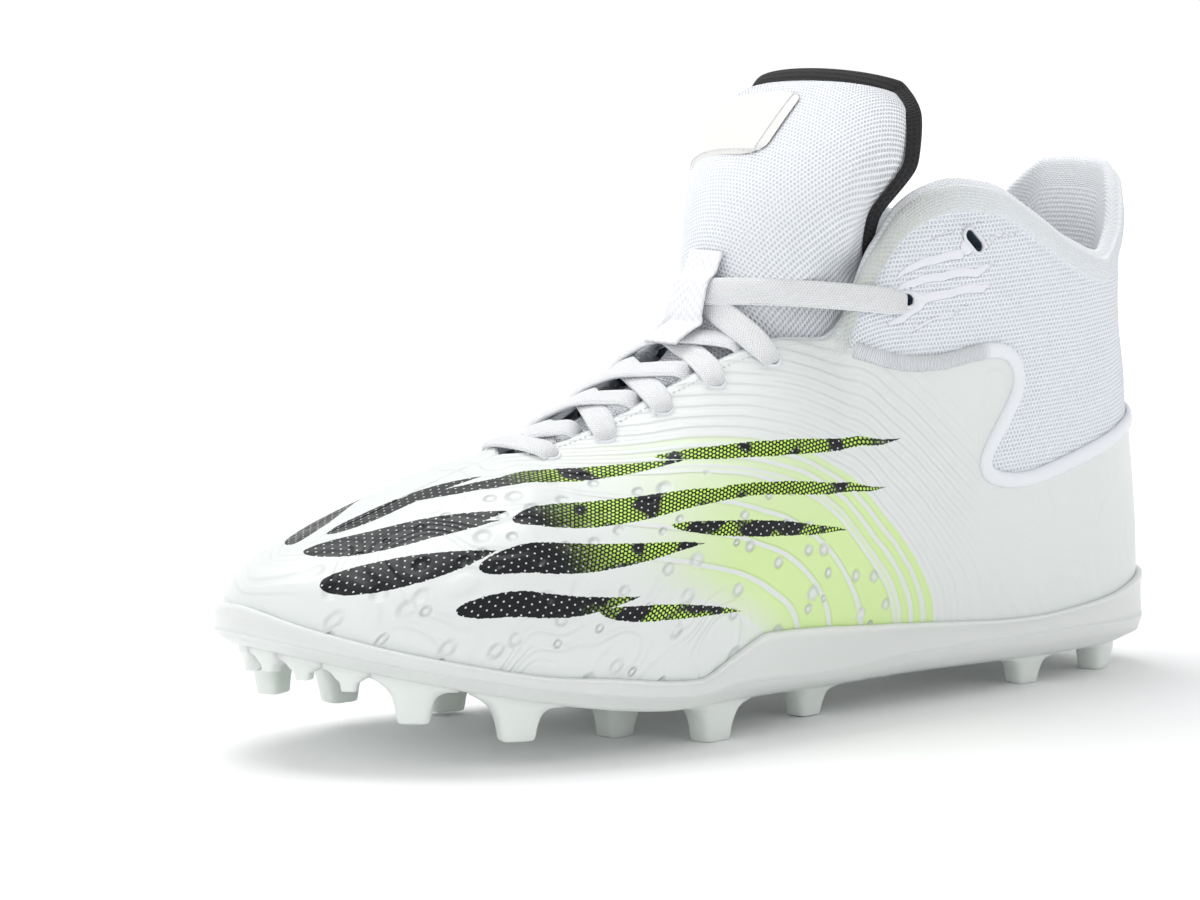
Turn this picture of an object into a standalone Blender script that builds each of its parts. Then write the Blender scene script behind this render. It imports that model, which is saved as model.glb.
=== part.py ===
"""A mid-height lacrosse cleat for the left foot: one hollow upper on a moulded, studded plate.

X runs from the heel to the toe, Y to the outer side of the foot and Z up, in metres.
The upper is a loop of columns. Each column is one cubic curve from the sole line up to the
collar, the throat edge or, in front of the throat, the ridge along the middle of the toe.
Everything that touches the upper takes its shape from the same columns.
"""
import math

import bmesh
import bpy
import numpy as np
from mathutils import Matrix, Vector
from mathutils.bvhtree import BVHTree

# Driving sizes of the last
FOOT_LENGTH = 0.292
BALL_WIDTH = 0.100
HEEL_TAB_HEIGHT = 0.141
TOE_SPRING = 0.019
TOE_SHIFT = 0.012

# Walls of the upper
SHELL_WALL = 0.0022
PADDED_WALL = 0.0048
COLLAR_BAND = 0.0075
COLLAR_ROLL = 0.0009
EDGE_RISE = 0.0020
EYELET_RADIUS = 0.0026
EYELET_SIDES = 8

# The plate
STUD_HEIGHT = 0.0102
HEEL_STUD_HEIGHT = 0.0076
PLATE_THICKNESS = 0.0032
RIM_WALL = 0.0013
SIDE_HEIGHT = 0.0185
STUD_SINK = 0.0012

STUD_DRAFT = 0.05

# Loose layers
INSOLE_THICKNESS = 0.0038
TONGUE_WIDTH = 0.078
TONGUE_THICKNESS = 0.0065
LACE_WIDTH = 0.0068
LACE_THICKNESS = 0.0016
LACE_REST = 0.0007
LACE_STACK = 0.0003
SEAM_GAP = 0.0004
SEAM_WIDTH = 0.0052
SEAM_HEIGHT = 0.0012
LABEL_THICKNESS = 0.0006
KEEPER_WIDTH = 0.0130
KEEPER_THICKNESS = 0.0012

# Clearance between pieces that touch
GAP = 0.0003
PLATE_GAP = 0.00042
TONGUE_CLEAR = 0.0008

# Places along the outline, from 0 at the heel to 1 at the tip of the toe
THROAT_END = 0.780
FLAP_FOOT = 0.530
SPRING_START = 0.66
SPRING_CURVE = 1.4

# Slope of the throat, seen from the side
THROAT_SLOPE = math.radians(28)

WHITE_SHELL = (0.86, 0.89, 0.87)
WHITE_MESH = (0.90, 0.92, 0.94)
PALE_PLATE = (0.80, 0.86, 0.80)
LACE_WHITE = (0.92, 0.92, 0.93)

# The sole line: x as a share of the foot's length, outer and inner as shares of the ball's
# width, lean of the wall out of the upright in degrees, reach as a share of the column
SOLE_LINE = (
    # at,   x,     outer,  inner, lean, reach
    (0.00, 0.000, 0.000, 0.000, 3, 0.38),
    (0.05, 0.017, 0.190, 0.190, 4, 0.36),
    (0.11, 0.068, 0.285, 0.290, 6, 0.34),
    (0.20, 0.171, 0.325, 0.325, 9, 0.32),
    (0.32, 0.315, 0.340, 0.290, 14, 0.30),
    (0.44, 0.452, 0.375, 0.270, 20, 0.32),
    (0.56, 0.589, 0.445, 0.340, 22, 0.34),
    (0.66, 0.702, 0.475, 0.430, 20, 0.36),
    (0.76, 0.808, 0.420, 0.460, 18, 0.38),
    (0.86, 0.900, 0.275, 0.415, 14, 0.42),
    (0.93, 0.954, 0.090, 0.315, 10, 0.46),
    (1.00, 0.982, -0.125, 0.125, 6, 0.50),
)

# The top line: collar, flap, throat and ridge. x is a share of the foot's length, half the
# half width as a share of the ball's width, z a share of the heel tab's height, tilt the
# slope of the wall out of the upright in degrees, reach a share of the column
TOP_LINE = (
    # at,    x,     half,  z,    tilt, reach
    (0.000, 0.022, 0.000, 1.000, -12, 0.28),
    (0.040, 0.026, 0.120, 0.995, -10, 0.28),
    (0.080, 0.046, 0.215, 0.945, -6, 0.30),
    (0.110, 0.070, 0.270, 0.870, -2, 0.32),
    (0.145, 0.100, 0.305, 0.830, 2, 0.34),
    (0.190, 0.145, 0.320, 0.860, 4, 0.36),
    (0.240, 0.205, 0.330, 0.928, 6, 0.36),
    (0.285, 0.250, 0.322, 0.973, 8, 0.36),
    (0.330, 0.295, 0.312, 0.985, 10, 0.36),
    (0.365, 0.330, 0.305, 0.970, 12, 0.36),
    (0.400, 0.362, 0.300, 0.936, 14, 0.36),
    (0.430, 0.386, 0.296, 0.882, 16, 0.36),
    (0.460, 0.403, 0.290, 0.837, 20, 0.36),
    (0.490, 0.417, 0.280, 0.780, 24, 0.36),
    (0.515, 0.426, 0.268, 0.730, 30, 0.36),
    (0.535, 0.440, 0.250, 0.704, 36, 0.36),
    (0.565, 0.475, 0.215, 0.708, 42, 0.36),
    (0.600, 0.520, 0.182, 0.685, 48, 0.36),
    (0.650, 0.580, 0.147, 0.634, 54, 0.36),
    (0.700, 0.640, 0.108, 0.574, 62, 0.36),
    (0.740, 0.690, 0.080, 0.534, 72, 0.36),
    (0.765, 0.718, 0.050, 0.518, 82, 0.36),
    (0.780, 0.730, 0.000, 0.512, 90, 0.38),
    (0.850, 0.790, 0.000, 0.473, 90, 0.32),
    (0.930, 0.855, 0.000, 0.420, 90, 0.36),
    (1.000, 0.905, 0.000, 0.385, 90, 0.50),
)

# The plate's side: rim and crease above the plate's underside as shares of the side's
# height, inset of the bottom edge as a share of the ball's width
PLATE_SIDE = (
    # at,   rim,   crease, inset
    (0.000, 1.150, 0.40, 0.060),
    (0.070, 1.050, 0.40, 0.050),
    (0.130, 0.840, 0.42, 0.040),
    (0.170, 0.760, 0.44, 0.040),
    (0.225, 0.700, 0.44, 0.050),
    (0.365, 0.870, 0.42, 0.080),
    (0.420, 0.950, 0.36, 0.080),
    (0.490, 1.000, 0.30, 0.060),
    (0.555, 0.990, 0.30, 0.030),
    (0.580, 0.780, 0.28, 0.020),
    (0.615, 0.460, 0.24, 0.020),
    (0.690, 0.470, 0.24, 0.020),
    (0.760, 0.400, 0.22, 0.020),
    (0.860, 0.420, 0.22, 0.030),
    (0.930, 0.490, 0.24, 0.035),
    (1.000, 0.620, 0.26, 0.040),
)


# Studs and teeth: side is 1 for the outer and -1 for the inner side, inset from the plate's
# bottom edge as a share of the ball's width, long and wide as shares of the stud's height,
# drop as a share of the studs' own height
STUDS = (
    # name,      side, at,    inset, long, wide, drop
    ("toe",         1, 0.862, 0.000, 1.15, 0.85, 1.00),
    ("front",       1, 0.770, 0.000, 1.25, 0.90, 1.00),
    ("ball",        1, 0.570, 0.000, 1.35, 0.95, 1.00),
    ("waist",       1, 0.440, 0.000, 1.15, 0.85, 1.00),
    ("heel_side",   1, 0.205, 0.000, 1.10, 0.85, 1.00),
    ("heel_back",   1, 0.095, 0.000, 1.15, 0.90, 1.00),
    ("toe",        -1, 0.875, 0.000, 1.15, 0.85, 1.00),
    ("front",      -1, 0.770, 0.000, 1.25, 0.90, 1.00),
    ("ball",       -1, 0.660, 0.000, 1.35, 0.95, 1.00),
    ("waist",      -1, 0.540, 0.000, 1.15, 0.85, 1.00),
    ("heel_side",  -1, 0.205, 0.000, 1.10, 0.85, 1.00),
    ("heel_back",  -1, 0.095, 0.000, 1.15, 0.90, 1.00),
    ("middle",      1, 0.610, 0.220, 1.20, 0.95, 1.00),
    ("toe_tooth",   1, 0.990, 0.010, 0.75, 0.50, 0.42),
    ("toe_tooth",   1, 0.950, 0.006, 0.75, 0.50, 0.45),
    ("toe_tooth",   1, 0.912, 0.004, 0.75, 0.50, 0.50),
    ("toe_tooth",  -1, 0.960, 0.006, 0.75, 0.50, 0.45),
    ("toe_tooth",  -1, 0.920, 0.004, 0.75, 0.50, 0.50),
    ("heel_tooth",  1, 0.010, 0.006, 0.60, 0.45, 0.45),
)
# Rings of a stud, from its tip up into the plate: height as a share, then length and width
STUD_RINGS = ((1.00, 0.66, 0.76), (0.92, 0.74, 0.86), (0.20, 0.94, 0.98), (0.00, 1.24, 1.20),
              (-1.0, 1.26, 1.22))
STUD_CORNERS = ((0.62, 0.0), (1, 0.16), (1, 0.84), (0.62, 1.0),
                (-0.62, 1.0), (-1, 0.84), (-1, 0.16), (-0.62, 0.0))

# Eyelets: place along the outline, distance from the edge as a share of the foot's length,
# and length of the hole in radii
EYELETS = (
    # name, at,  from_edge, long
    ("0", 0.752, 0.0190, 2.2),
    ("1", 0.712, 0.0190, 2.2),
    ("2", 0.668, 0.0190, 2.2),
    ("3", 0.626, 0.0190, 2.2),
    ("4", 0.582, 0.0190, 2.2),
    ("5", 0.406, 0.0720, 2.4),
    ("6", 0.315, 0.0490, 3.4),
)

# The raised seam from the middle of the heel to the throat: place along the outline and
# height as a share of the heel tab's
SEAM_LINE = (
    # at,   z
    (0.000, 0.525),
    (0.083, 0.500),
    (0.158, 0.462),
    (0.215, 0.430),
    (0.268, 0.418),
    (0.300, 0.450),
    (0.290, 0.505),
    (0.272, 0.560),
    (0.263, 0.610),
    (0.272, 0.652),
    (0.305, 0.668),
    (0.350, 0.657),
    (0.400, 0.656),
    (0.450, 0.668),
    (0.500, 0.684),
)
SEAM_SECTION = ((-1.0, 0.0), (-0.9, 0.6), (-0.3, 1.0), (0.3, 1.0), (0.9, 0.6), (1.0, 0.0))
LACE_SECTION = ((-1.0, 0.0), (-0.75, -1.0), (0.75, -1.0), (1.0, 0.0), (0.75, 1.0), (-0.75, 1.0))

# The keeper and the label on the tongue, in rows of its table and shares of its width
LACE_STOP = 0.012
KEEPER_ROW = 5.8
KEEPER_SPAN = (5.05, 6.55)
LABEL_PLACE = (9.80, 8.50, -0.74, 0.10)

# The tongue's front line from the toe up: x and z as shares of the foot's length and the heel
# tab's height, slope of the line in degrees, half width as a share of the tongue's width, sag
# of the edges as a share of it, sweep of the section in degrees, thickness as a share
TONGUE_LINE = (
    # x,    z,     slope, half, sag,  sweep, thick
    (0.765, 0.460, 22, 0.16, 0.04, 80, 0.30),
    (0.728, 0.490, 24, 0.20, 0.06, 80, 0.40),
    (0.665, 0.538, 27, 0.27, 0.11, 80, 0.50),
    (0.600, 0.590, 32, 0.33, 0.17, 82, 0.60),
    (0.545, 0.652, 44, 0.37, 0.24, 86, 0.80),
    (0.512, 0.730, 68, 0.40, 0.34, 92, 0.95),
    (0.505, 0.800, 84, 0.42, 0.42, 94, 1.00),
    (0.497, 0.880, 74, 0.44, 0.44, 92, 1.00),
    (0.476, 0.985, 62, 0.49, 0.38, 88, 1.00),
    (0.435, 1.090, 56, 0.52, 0.26, 84, 1.00),
    (0.396, 1.165, 52, 0.47, 0.16, 80, 0.90),
    (0.380, 1.187, 52, 0.38, 0.10, 76, 0.60),
)


def read_rows(rows, columns):
    """Returns the table's columns by name."""
    return {name: np.array([row[i] for row in rows], float) for i, name in enumerate(columns)}


SOLE = read_rows(SOLE_LINE, ("at", "x", "outer", "inner", "lean", "reach"))
TOP = read_rows(TOP_LINE, ("at", "x", "half", "z", "tilt", "reach"))
SIDE = read_rows(PLATE_SIDE, ("at", "rim", "crease", "inset"))
SEAM = read_rows(SEAM_LINE, ("at", "z"))
TONGUE = read_rows(TONGUE_LINE, ("x", "z", "slope", "half", "sag", "sweep", "thick"))


def smooth(value):
    """Rises softly from 0 to 1."""
    value = np.clip(value, 0.0, 1.0)
    return value * value * (3 - 2 * value)


def closed_spline(knots, values, period):
    """Returns the smooth closed curve through the values, and its slope."""
    knots, values = np.asarray(knots, float), np.asarray(values, float)
    count = len(knots)
    step = np.diff(np.append(knots, knots[0] + period))
    rise = np.diff(np.append(values, values[0])) / step
    matrix = np.zeros((count, count))
    for i in range(count):
        before, after = step[i - 1], step[i]
        matrix[i, i - 1] += after
        matrix[i, i] += 2 * (before + after)
        matrix[i, (i + 1) % count] += before
    right = np.array([3 * (step[i] * rise[i - 1] + step[i - 1] * rise[i]) for i in range(count)])
    slopes = np.linalg.solve(matrix, right)

    def read(s, slope=False):
        s = (np.asarray(s, float) - knots[0]) % period + knots[0]
        i = np.clip(np.searchsorted(knots, s, side="right") - 1, 0, count - 1)
        j = (i + 1) % count
        h = step[i]
        t = (s - knots[i]) / h
        if slope:
            return (6 * t * (t - 1) * (values[i] - values[j]) / h
                    + (3 * t * t - 4 * t + 1) * slopes[i] + (3 * t * t - 2 * t) * slopes[j])
        return ((2 * t ** 3 - 3 * t ** 2 + 1) * values[i] + (3 * t ** 2 - 2 * t ** 3) * values[j]
                + h * (t ** 3 - 2 * t ** 2 + t) * slopes[i] + h * (t ** 3 - t ** 2) * slopes[j])

    return read


def soft_steps(knots, values, start=0.0):
    """Returns a curve through the values that never swings past them, and its slope.

    start is the slope at the first value as a share of the first step's.
    """
    knots, values = np.asarray(knots, float), np.asarray(values, float)
    step = np.diff(knots)
    rise = np.diff(values) / step
    slopes = np.zeros(len(knots))
    slopes[0] = start * rise[0]
    for i in range(1, len(knots) - 1):
        if rise[i - 1] * rise[i] > 0:
            low, high = 2 * step[i] + step[i - 1], step[i] + 2 * step[i - 1]
            slopes[i] = (low + high) / (low / rise[i - 1] + high / rise[i])

    def read(at, slope=False):
        at = np.clip(np.asarray(at, float), knots[0], knots[-1])
        i = np.clip(np.searchsorted(knots, at, side="right") - 1, 0, len(step) - 1)
        h = step[i]
        t = (at - knots[i]) / h
        if slope:
            return (6 * t * (t - 1) * (values[i] - values[i + 1]) / h
                    + (3 * t * t - 4 * t + 1) * slopes[i] + (3 * t * t - 2 * t) * slopes[i + 1])
        return ((2 * t ** 3 - 3 * t ** 2 + 1) * values[i]
                + (3 * t ** 2 - 2 * t ** 3) * values[i + 1]
                + h * (t ** 3 - 2 * t ** 2 + t) * slopes[i] + h * (t ** 3 - t ** 2) * slopes[i + 1])

    return read


def soft_curve(knots, values):
    """Returns the natural smooth curve through the values."""
    knots, values = np.asarray(knots, float), np.asarray(values, float)
    count = len(knots)
    step = np.diff(knots)
    rise = np.diff(values) / step
    matrix, right = np.zeros((count, count)), np.zeros(count)
    matrix[0, :2], right[0] = (2, 1), 3 * rise[0]
    matrix[-1, -2:], right[-1] = (1, 2), 3 * rise[-1]
    for i in range(1, count - 1):
        matrix[i, i - 1:i + 2] = step[i], 2 * (step[i - 1] + step[i]), step[i - 1]
        right[i] = 3 * (step[i] * rise[i - 1] + step[i - 1] * rise[i])
    slopes = np.linalg.solve(matrix, right)

    def read(place):
        place = np.asarray(place, float)
        i = np.clip(np.searchsorted(knots, place, side="right") - 1, 0, count - 2)
        h = step[i]
        t = (place - knots[i]) / h
        return ((2 * t ** 3 - 3 * t ** 2 + 1) * values[i]
                + (3 * t ** 2 - 2 * t ** 3) * values[i + 1]
                + h * (t ** 3 - 2 * t ** 2 + t) * slopes[i] + h * (t ** 3 - t ** 2) * slopes[i + 1])

    return read


def round_the_foot(outer, inner):
    """Returns a closed curve from values along the outer side and back along the inner side."""
    knots = np.concatenate([SOLE["at"], 2 - SOLE["at"][-2:0:-1]])
    values = np.concatenate([outer, inner[-2:0:-1]])
    return closed_spline(knots, values, 2.0)


sole_x = round_the_foot(SOLE["x"] * FOOT_LENGTH, SOLE["x"] * FOOT_LENGTH)
sole_y = round_the_foot(SOLE["outer"] * BALL_WIDTH, -SOLE["inner"] * BALL_WIDTH)
sole_lean = round_the_foot(np.radians(SOLE["lean"]), np.radians(SOLE["lean"]))
sole_reach = round_the_foot(SOLE["reach"], SOLE["reach"])
top_x = soft_steps(TOP["at"], TOP["x"] * FOOT_LENGTH)
top_half = soft_steps(TOP["at"], TOP["half"] * BALL_WIDTH, start=1.3)
top_z = soft_steps(TOP["at"], TOP["z"] * HEEL_TAB_HEIGHT)
top_tilt = soft_steps(TOP["at"], np.radians(TOP["tilt"]))
top_reach = soft_steps(TOP["at"], TOP["reach"])
side_rim = soft_steps(SIDE["at"], SIDE["rim"] * SIDE_HEIGHT)
side_crease = soft_steps(SIDE["at"], SIDE["crease"] * SIDE_HEIGHT)
side_inset = soft_steps(SIDE["at"], SIDE["inset"] * BALL_WIDTH)
tongue = {name: soft_steps(np.arange(len(TONGUE_LINE)), values) for name, values in TONGUE.items()}


def place(s):
    """Returns how far along the outline s is, and 1 on the outer side or -1 on the inner side."""
    s = np.asarray(s, float) % 2.0
    return 1 - np.abs(1 - s), np.where(s <= 1, 1.0, -1.0)


def centre_line(x):
    """The middle of the foot turns towards the inner side at the toe."""
    return -TOE_SHIFT * smooth((x / FOOT_LENGTH - 0.55) / 0.45)


def under_z(x):
    """Height of the plate's underside: low at the heel, level at the ball, then the toe spring."""
    share = np.asarray(x, float) / FOOT_LENGTH
    forward = np.clip((share - SPRING_START) / (1 - SPRING_START), 0, None)
    step_up = smooth((share - 0.42) / 0.20) * (STUD_HEIGHT - HEEL_STUD_HEIGHT)
    return HEEL_STUD_HEIGHT + step_up + TOE_SPRING * forward ** SPRING_CURVE


def floor_z(x):
    """Height of the plate's inner floor."""
    return under_z(x) + PLATE_THICKNESS


def plan_normal(s):
    """Outward direction of the sole line, seen from above."""
    dx, dy = sole_x(s, slope=True), sole_y(s, slope=True)
    size = np.hypot(dx, dy)
    return -dy / size, dx / size


def columns(s):
    """Returns the four points of the cubic curve of each column."""
    s = np.asarray(s, float)
    at, side = place(s)
    x, y = sole_x(s), sole_y(s)
    nx, ny = plan_normal(s)
    foot = np.stack([x, y, floor_z(x) + GAP], -1)
    lean = sole_lean(s)
    low = np.stack([np.sin(lean) * nx, np.sin(lean) * ny, np.cos(lean)], -1)

    tx = top_x(at)
    head = np.stack([tx, centre_line(tx) + side * top_half(at), top_z(at)], -1)
    turn = smooth((at - 0.45) / (THROAT_END - 0.45))
    wide_x, wide_y = nx * (1 - turn), ny * (1 - turn) + side * turn
    size = np.hypot(wide_x, wide_y)
    tilt = top_tilt(at)
    wall = np.stack([np.sin(tilt) * wide_x / size, np.sin(tilt) * wide_y / size, -np.cos(tilt)], -1)
    step = 1e-4
    ahead = np.clip(at + step, 0, 1)
    behind = ahead - 2 * step
    ridge = np.stack([top_x(ahead) - top_x(behind),
                      centre_line(top_x(ahead)) - centre_line(top_x(behind)),
                      top_z(ahead) - top_z(behind)], -1)
    ridge /= np.linalg.norm(ridge, axis=-1, keepdims=True)
    swing = np.clip((at - THROAT_END) / (1 - THROAT_END), 0, 1) * np.pi / 2
    across = np.stack([np.zeros_like(x), side, np.zeros_like(x)], -1)
    vamp = np.cos(swing)[..., None] * across + np.sin(swing)[..., None] * ridge
    high = np.where((at > THROAT_END)[..., None], vamp, wall)

    span = np.linalg.norm(head - foot, axis=-1)
    return (foot, foot + low * (sole_reach(s) * span)[..., None],
            head + high * (top_reach(at) * span)[..., None], head)


def outer_face(s, v):
    """Points of the upper's outer face, v running from 0 at the sole to 1 at the top line."""
    s, v = np.broadcast_arrays(np.asarray(s, float), np.asarray(v, float))
    a, b, c, d = columns(s)
    v = v[..., None]
    u = 1 - v
    return u ** 3 * a + 3 * u * u * v * b + 3 * u * v * v * c + v ** 3 * d


def face_normal(s, v):
    """Outward normals of the outer face."""
    s, v = np.broadcast_arrays(np.asarray(s, float), np.asarray(v, float))
    v = np.clip(v, 0.002, 0.985)
    step = 1e-4
    along = outer_face(s + step, v) - outer_face(s - step, v)
    up = outer_face(s, v + step) - outer_face(s, v - step)
    normal = np.cross(up, along)
    return normal / np.linalg.norm(normal, axis=-1, keepdims=True)


def lifted(s, v, height):
    """Points at a height off the outer face, or inside it where the height is negative."""
    return outer_face(s, v) + face_normal(s, v) * np.asarray(height, float)[..., None]


def column_length(s):
    """Length of each column."""
    steps = np.linspace(0, 1, 25)
    line = outer_face(np.asarray(s, float)[..., None], steps)
    return np.linalg.norm(np.diff(line, axis=-2), axis=-1).sum(-1)


def level_at_height(s, z):
    """Returns v where each column reaches the height z."""
    s, z = np.broadcast_arrays(np.asarray(s, float), np.asarray(z, float))
    low, high = np.zeros_like(s), np.ones_like(s)
    for _ in range(30):
        middle = (low + high) / 2
        under = outer_face(s, middle)[..., 2] < z
        low, high = np.where(under, middle, low), np.where(under, high, middle)
    return (low + high) / 2


def wall_at(s, v):
    """Thickness of the upper: a thin moulded shell, padded round the ankle."""
    at, _ = place(s)
    ankle = smooth((0.60 - at) / 0.12) * smooth((v - 0.40) / 0.20)
    return SHELL_WALL + (PADDED_WALL - SHELL_WALL) * ankle


def collar_weight(at):
    """1 where the padded edge of the collar runs, falling to 0 along the throat."""
    return smooth((FLAP_FOOT + 0.02 - at) / 0.05)


def eyelet_place(at, from_edge, side):
    """Returns s and v of an eyelet's middle."""
    s = at if side > 0 else 2 - at
    return s, 1 - from_edge / float(column_length(s))


def tongue_face(row, share):
    """Centre points of the tongue's outer face and their outward normals.

    row runs along the tongue's line from 0 to the last row, share across it from -1 to 1.
    """
    row, share = np.broadcast_arrays(np.asarray(row, float), np.asarray(share, float))
    slope = np.radians(tongue["slope"](row))
    half, sag = tongue["half"](row) * TONGUE_WIDTH, tongue["sag"](row) * TONGUE_WIDTH
    turn = share * np.radians(tongue["sweep"](row))
    front = np.stack([np.sin(slope), np.zeros_like(slope), np.cos(slope)], -1)
    x = tongue["x"](row) * FOOT_LENGTH
    centre = np.stack([x, centre_line(x), tongue["z"](row) * HEEL_TAB_HEIGHT], -1)
    across = np.array([0.0, 1.0, 0.0])
    point = (centre + across * (half * np.sin(turn))[..., None]
             - front * (sag * (1 - np.cos(turn)))[..., None])
    normal = across * (sag * np.sin(turn))[..., None] + front * (half * np.cos(turn))[..., None]
    return point, normal / np.linalg.norm(normal, axis=-1, keepdims=True)


def add_object(name, vertices, faces, colour, roughness, sharp=50):
    """Adds one closed body with its own material."""
    mesh = bpy.data.meshes.new(name)
    mesh.from_pydata([tuple(map(float, p)) for p in vertices], [], faces)
    work = bmesh.new()
    work.from_mesh(mesh)
    bmesh.ops.recalc_face_normals(work, faces=work.faces)
    bmesh.ops.triangulate(work, faces=work.faces)
    work.to_mesh(mesh)
    work.free()
    piece = bpy.data.objects.new(name, mesh)
    bpy.context.scene.collection.objects.link(piece)
    finish(piece, colour, roughness, sharp)
    return piece


def finish(piece, colour, roughness, sharp=50):
    """Gives a piece its material and its smooth shading."""
    material = bpy.data.materials.new(piece.name)
    material.use_nodes = True
    shader = material.node_tree.nodes["Principled BSDF"]
    shader.inputs["Base Color"].default_value = (*colour, 1)
    shader.inputs["Roughness"].default_value = roughness
    shader.inputs["Metallic"].default_value = 0.0
    piece.data.materials.clear()
    piece.data.materials.append(material)
    piece.data.shade_smooth()
    piece.data.set_sharp_from_angle(angle=math.radians(sharp))


def combine(piece, others, operation):
    """Joins the other bodies to the piece, or cuts them out of it, and removes them."""
    for other in others:
        change = piece.modifiers.new(operation.title(), "BOOLEAN")
        change.operation = operation
        change.solver = "EXACT"
        change.object = other
    graph = bpy.context.evaluated_depsgraph_get()
    mesh = bpy.data.meshes.new_from_object(piece.evaluated_get(graph))
    piece.modifiers.clear()
    piece.data = mesh
    for other in others:
        bpy.data.objects.remove(other)


def tube_faces(ring, count, closed_ends=True):
    """Faces of a skin over count rings of ring points each, with its two ends closed."""
    faces = []
    for r in range(count - 1):
        for i in range(ring):
            j = (i + 1) % ring
            faces.append([r * ring + i, r * ring + j, (r + 1) * ring + j, (r + 1) * ring + i])
    if closed_ends:
        faces.append(list(range(ring)))
        faces.append(list(range((count - 1) * ring, count * ring)))
    return faces


def stations(throat_count, vamp_count):
    """Places of the columns round the foot, with one on the end of the throat."""
    back = np.linspace(0, THROAT_END, throat_count + 1)
    front = np.linspace(THROAT_END, 1, vamp_count + 1)[1:]
    side = np.concatenate([back, front])
    return side, np.concatenate([side, 2 - side[-2:0:-1]])


def shell_levels(s, body_rows):
    """Returns v for every row of each column, close together in the collar's band."""
    length = column_length(s)
    band = np.array([1.15, 0.90, 0.45, 0.0]) * COLLAR_BAND
    top = 1 - band[None, :] / length[:, None]
    body = np.linspace(0, 1, body_rows + 1)[None, :-1] * top[:, :1]
    return np.concatenate([body, top], axis=1)


def make_upper_shell():
    """One hollow shell, open at the collar, the throat and the sole."""
    side, s = stations(26, 8)
    count, half = len(s), len(side)
    levels = shell_levels(s, 6)
    rows = levels.shape[1]
    at, _ = place(s)
    roll = np.zeros_like(levels)
    roll[:, -3:] = np.array([0.35, 1.0, 0.5]) * COLLAR_ROLL * collar_weight(at)[:, None]
    ring = s[:, None] + np.zeros_like(levels)
    outside = lifted(ring, levels, roll)
    inside = lifted(ring, levels, -wall_at(ring, levels))
    inside[:, 0, 2] = outside[:, 0, 2]
    edge = (outside[:, -1] + inside[:, -1]) / 2
    edge[:, 2] += np.minimum(wall_at(s, np.ones_like(s)) * 0.4, EDGE_RISE)

    end = int(np.argmin(abs(side - THROAT_END)))
    vertices, index = [], {}

    def point(layer, column, row):
        """One point, shared by both sides of the foot along the ridge."""
        column %= count
        if layer == "edge" or row == rows - 1:
            across = column if column < half else count - column
            if across >= end:
                column = across
        key = (layer, column, row)
        if key not in index:
            source = {"out": outside, "in": inside}.get(layer)
            index[key] = len(vertices)
            vertices.append(edge[column] if source is None else source[column, row])
        return index[key]

    faces = []
    for i in range(count):
        j = i + 1
        for k in range(rows - 1):
            for layer in ("out", "in"):
                corners = [point(layer, i, k), point(layer, j, k),
                           point(layer, j, k + 1), point(layer, i, k + 1)]
                corners = list(dict.fromkeys(corners))
                if len(corners) > 2:
                    faces.append(corners if layer == "out" else corners[::-1])
        faces.append([point("in", i, 0), point("in", j, 0), point("out", j, 0), point("out", i, 0)])
        near = i if i < half else count - i
        far = j if j < half else count - j
        if max(near, far) <= end:
            top = rows - 1
            faces.append([point("out", i, top), point("out", j, top),
                          point("edge", j, 0), point("edge", i, 0)])
            faces.append([point("edge", i, 0), point("edge", j, 0),
                          point("in", j, top), point("in", i, top)])
    return add_object("upper", vertices, faces, WHITE_SHELL, 0.5)


def make_punch(at, from_edge, side, length):
    """A cutter through the wall at an eyelet, round or drawn out into a slot."""
    s, v = eyelet_place(at, from_edge, side)
    centre, normal = outer_face(s, v), face_normal(s, v)
    along = outer_face(s + 0.002, v) - outer_face(s - 0.002, v)
    along -= normal * (along @ normal)
    along = along / np.linalg.norm(along) * side
    slant = (along + np.cross(normal, along) * -0.9 * side) / math.hypot(1, 0.9)
    across = np.cross(normal, slant)
    vertices = []
    for depth in (-1.6 * PADDED_WALL, 0.6 * PADDED_WALL):
        for k in range(EYELET_SIDES):
            angle = 2 * math.pi * (k + 0.5) / EYELET_SIDES
            stretch = (length / 2 - EYELET_RADIUS) * (1 if math.cos(angle) > 0 else -1)
            vertices.append(centre + normal * depth
                            + slant * (EYELET_RADIUS * math.cos(angle) + stretch)
                            + across * EYELET_RADIUS * math.sin(angle))
    return add_object("punch", vertices, tube_faces(EYELET_SIDES, 2), WHITE_SHELL, 0.5)


def make_upper():
    """The shell with its eyelets punched through."""
    upper = make_upper_shell()
    punches = [make_punch(at, from_edge * FOOT_LENGTH, side, length * EYELET_RADIUS)
               for _, at, from_edge, length in EYELETS for side in (1, -1)]
    combine(upper, punches, "DIFFERENCE")
    finish(upper, WHITE_SHELL, 0.5)
    return upper


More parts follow.
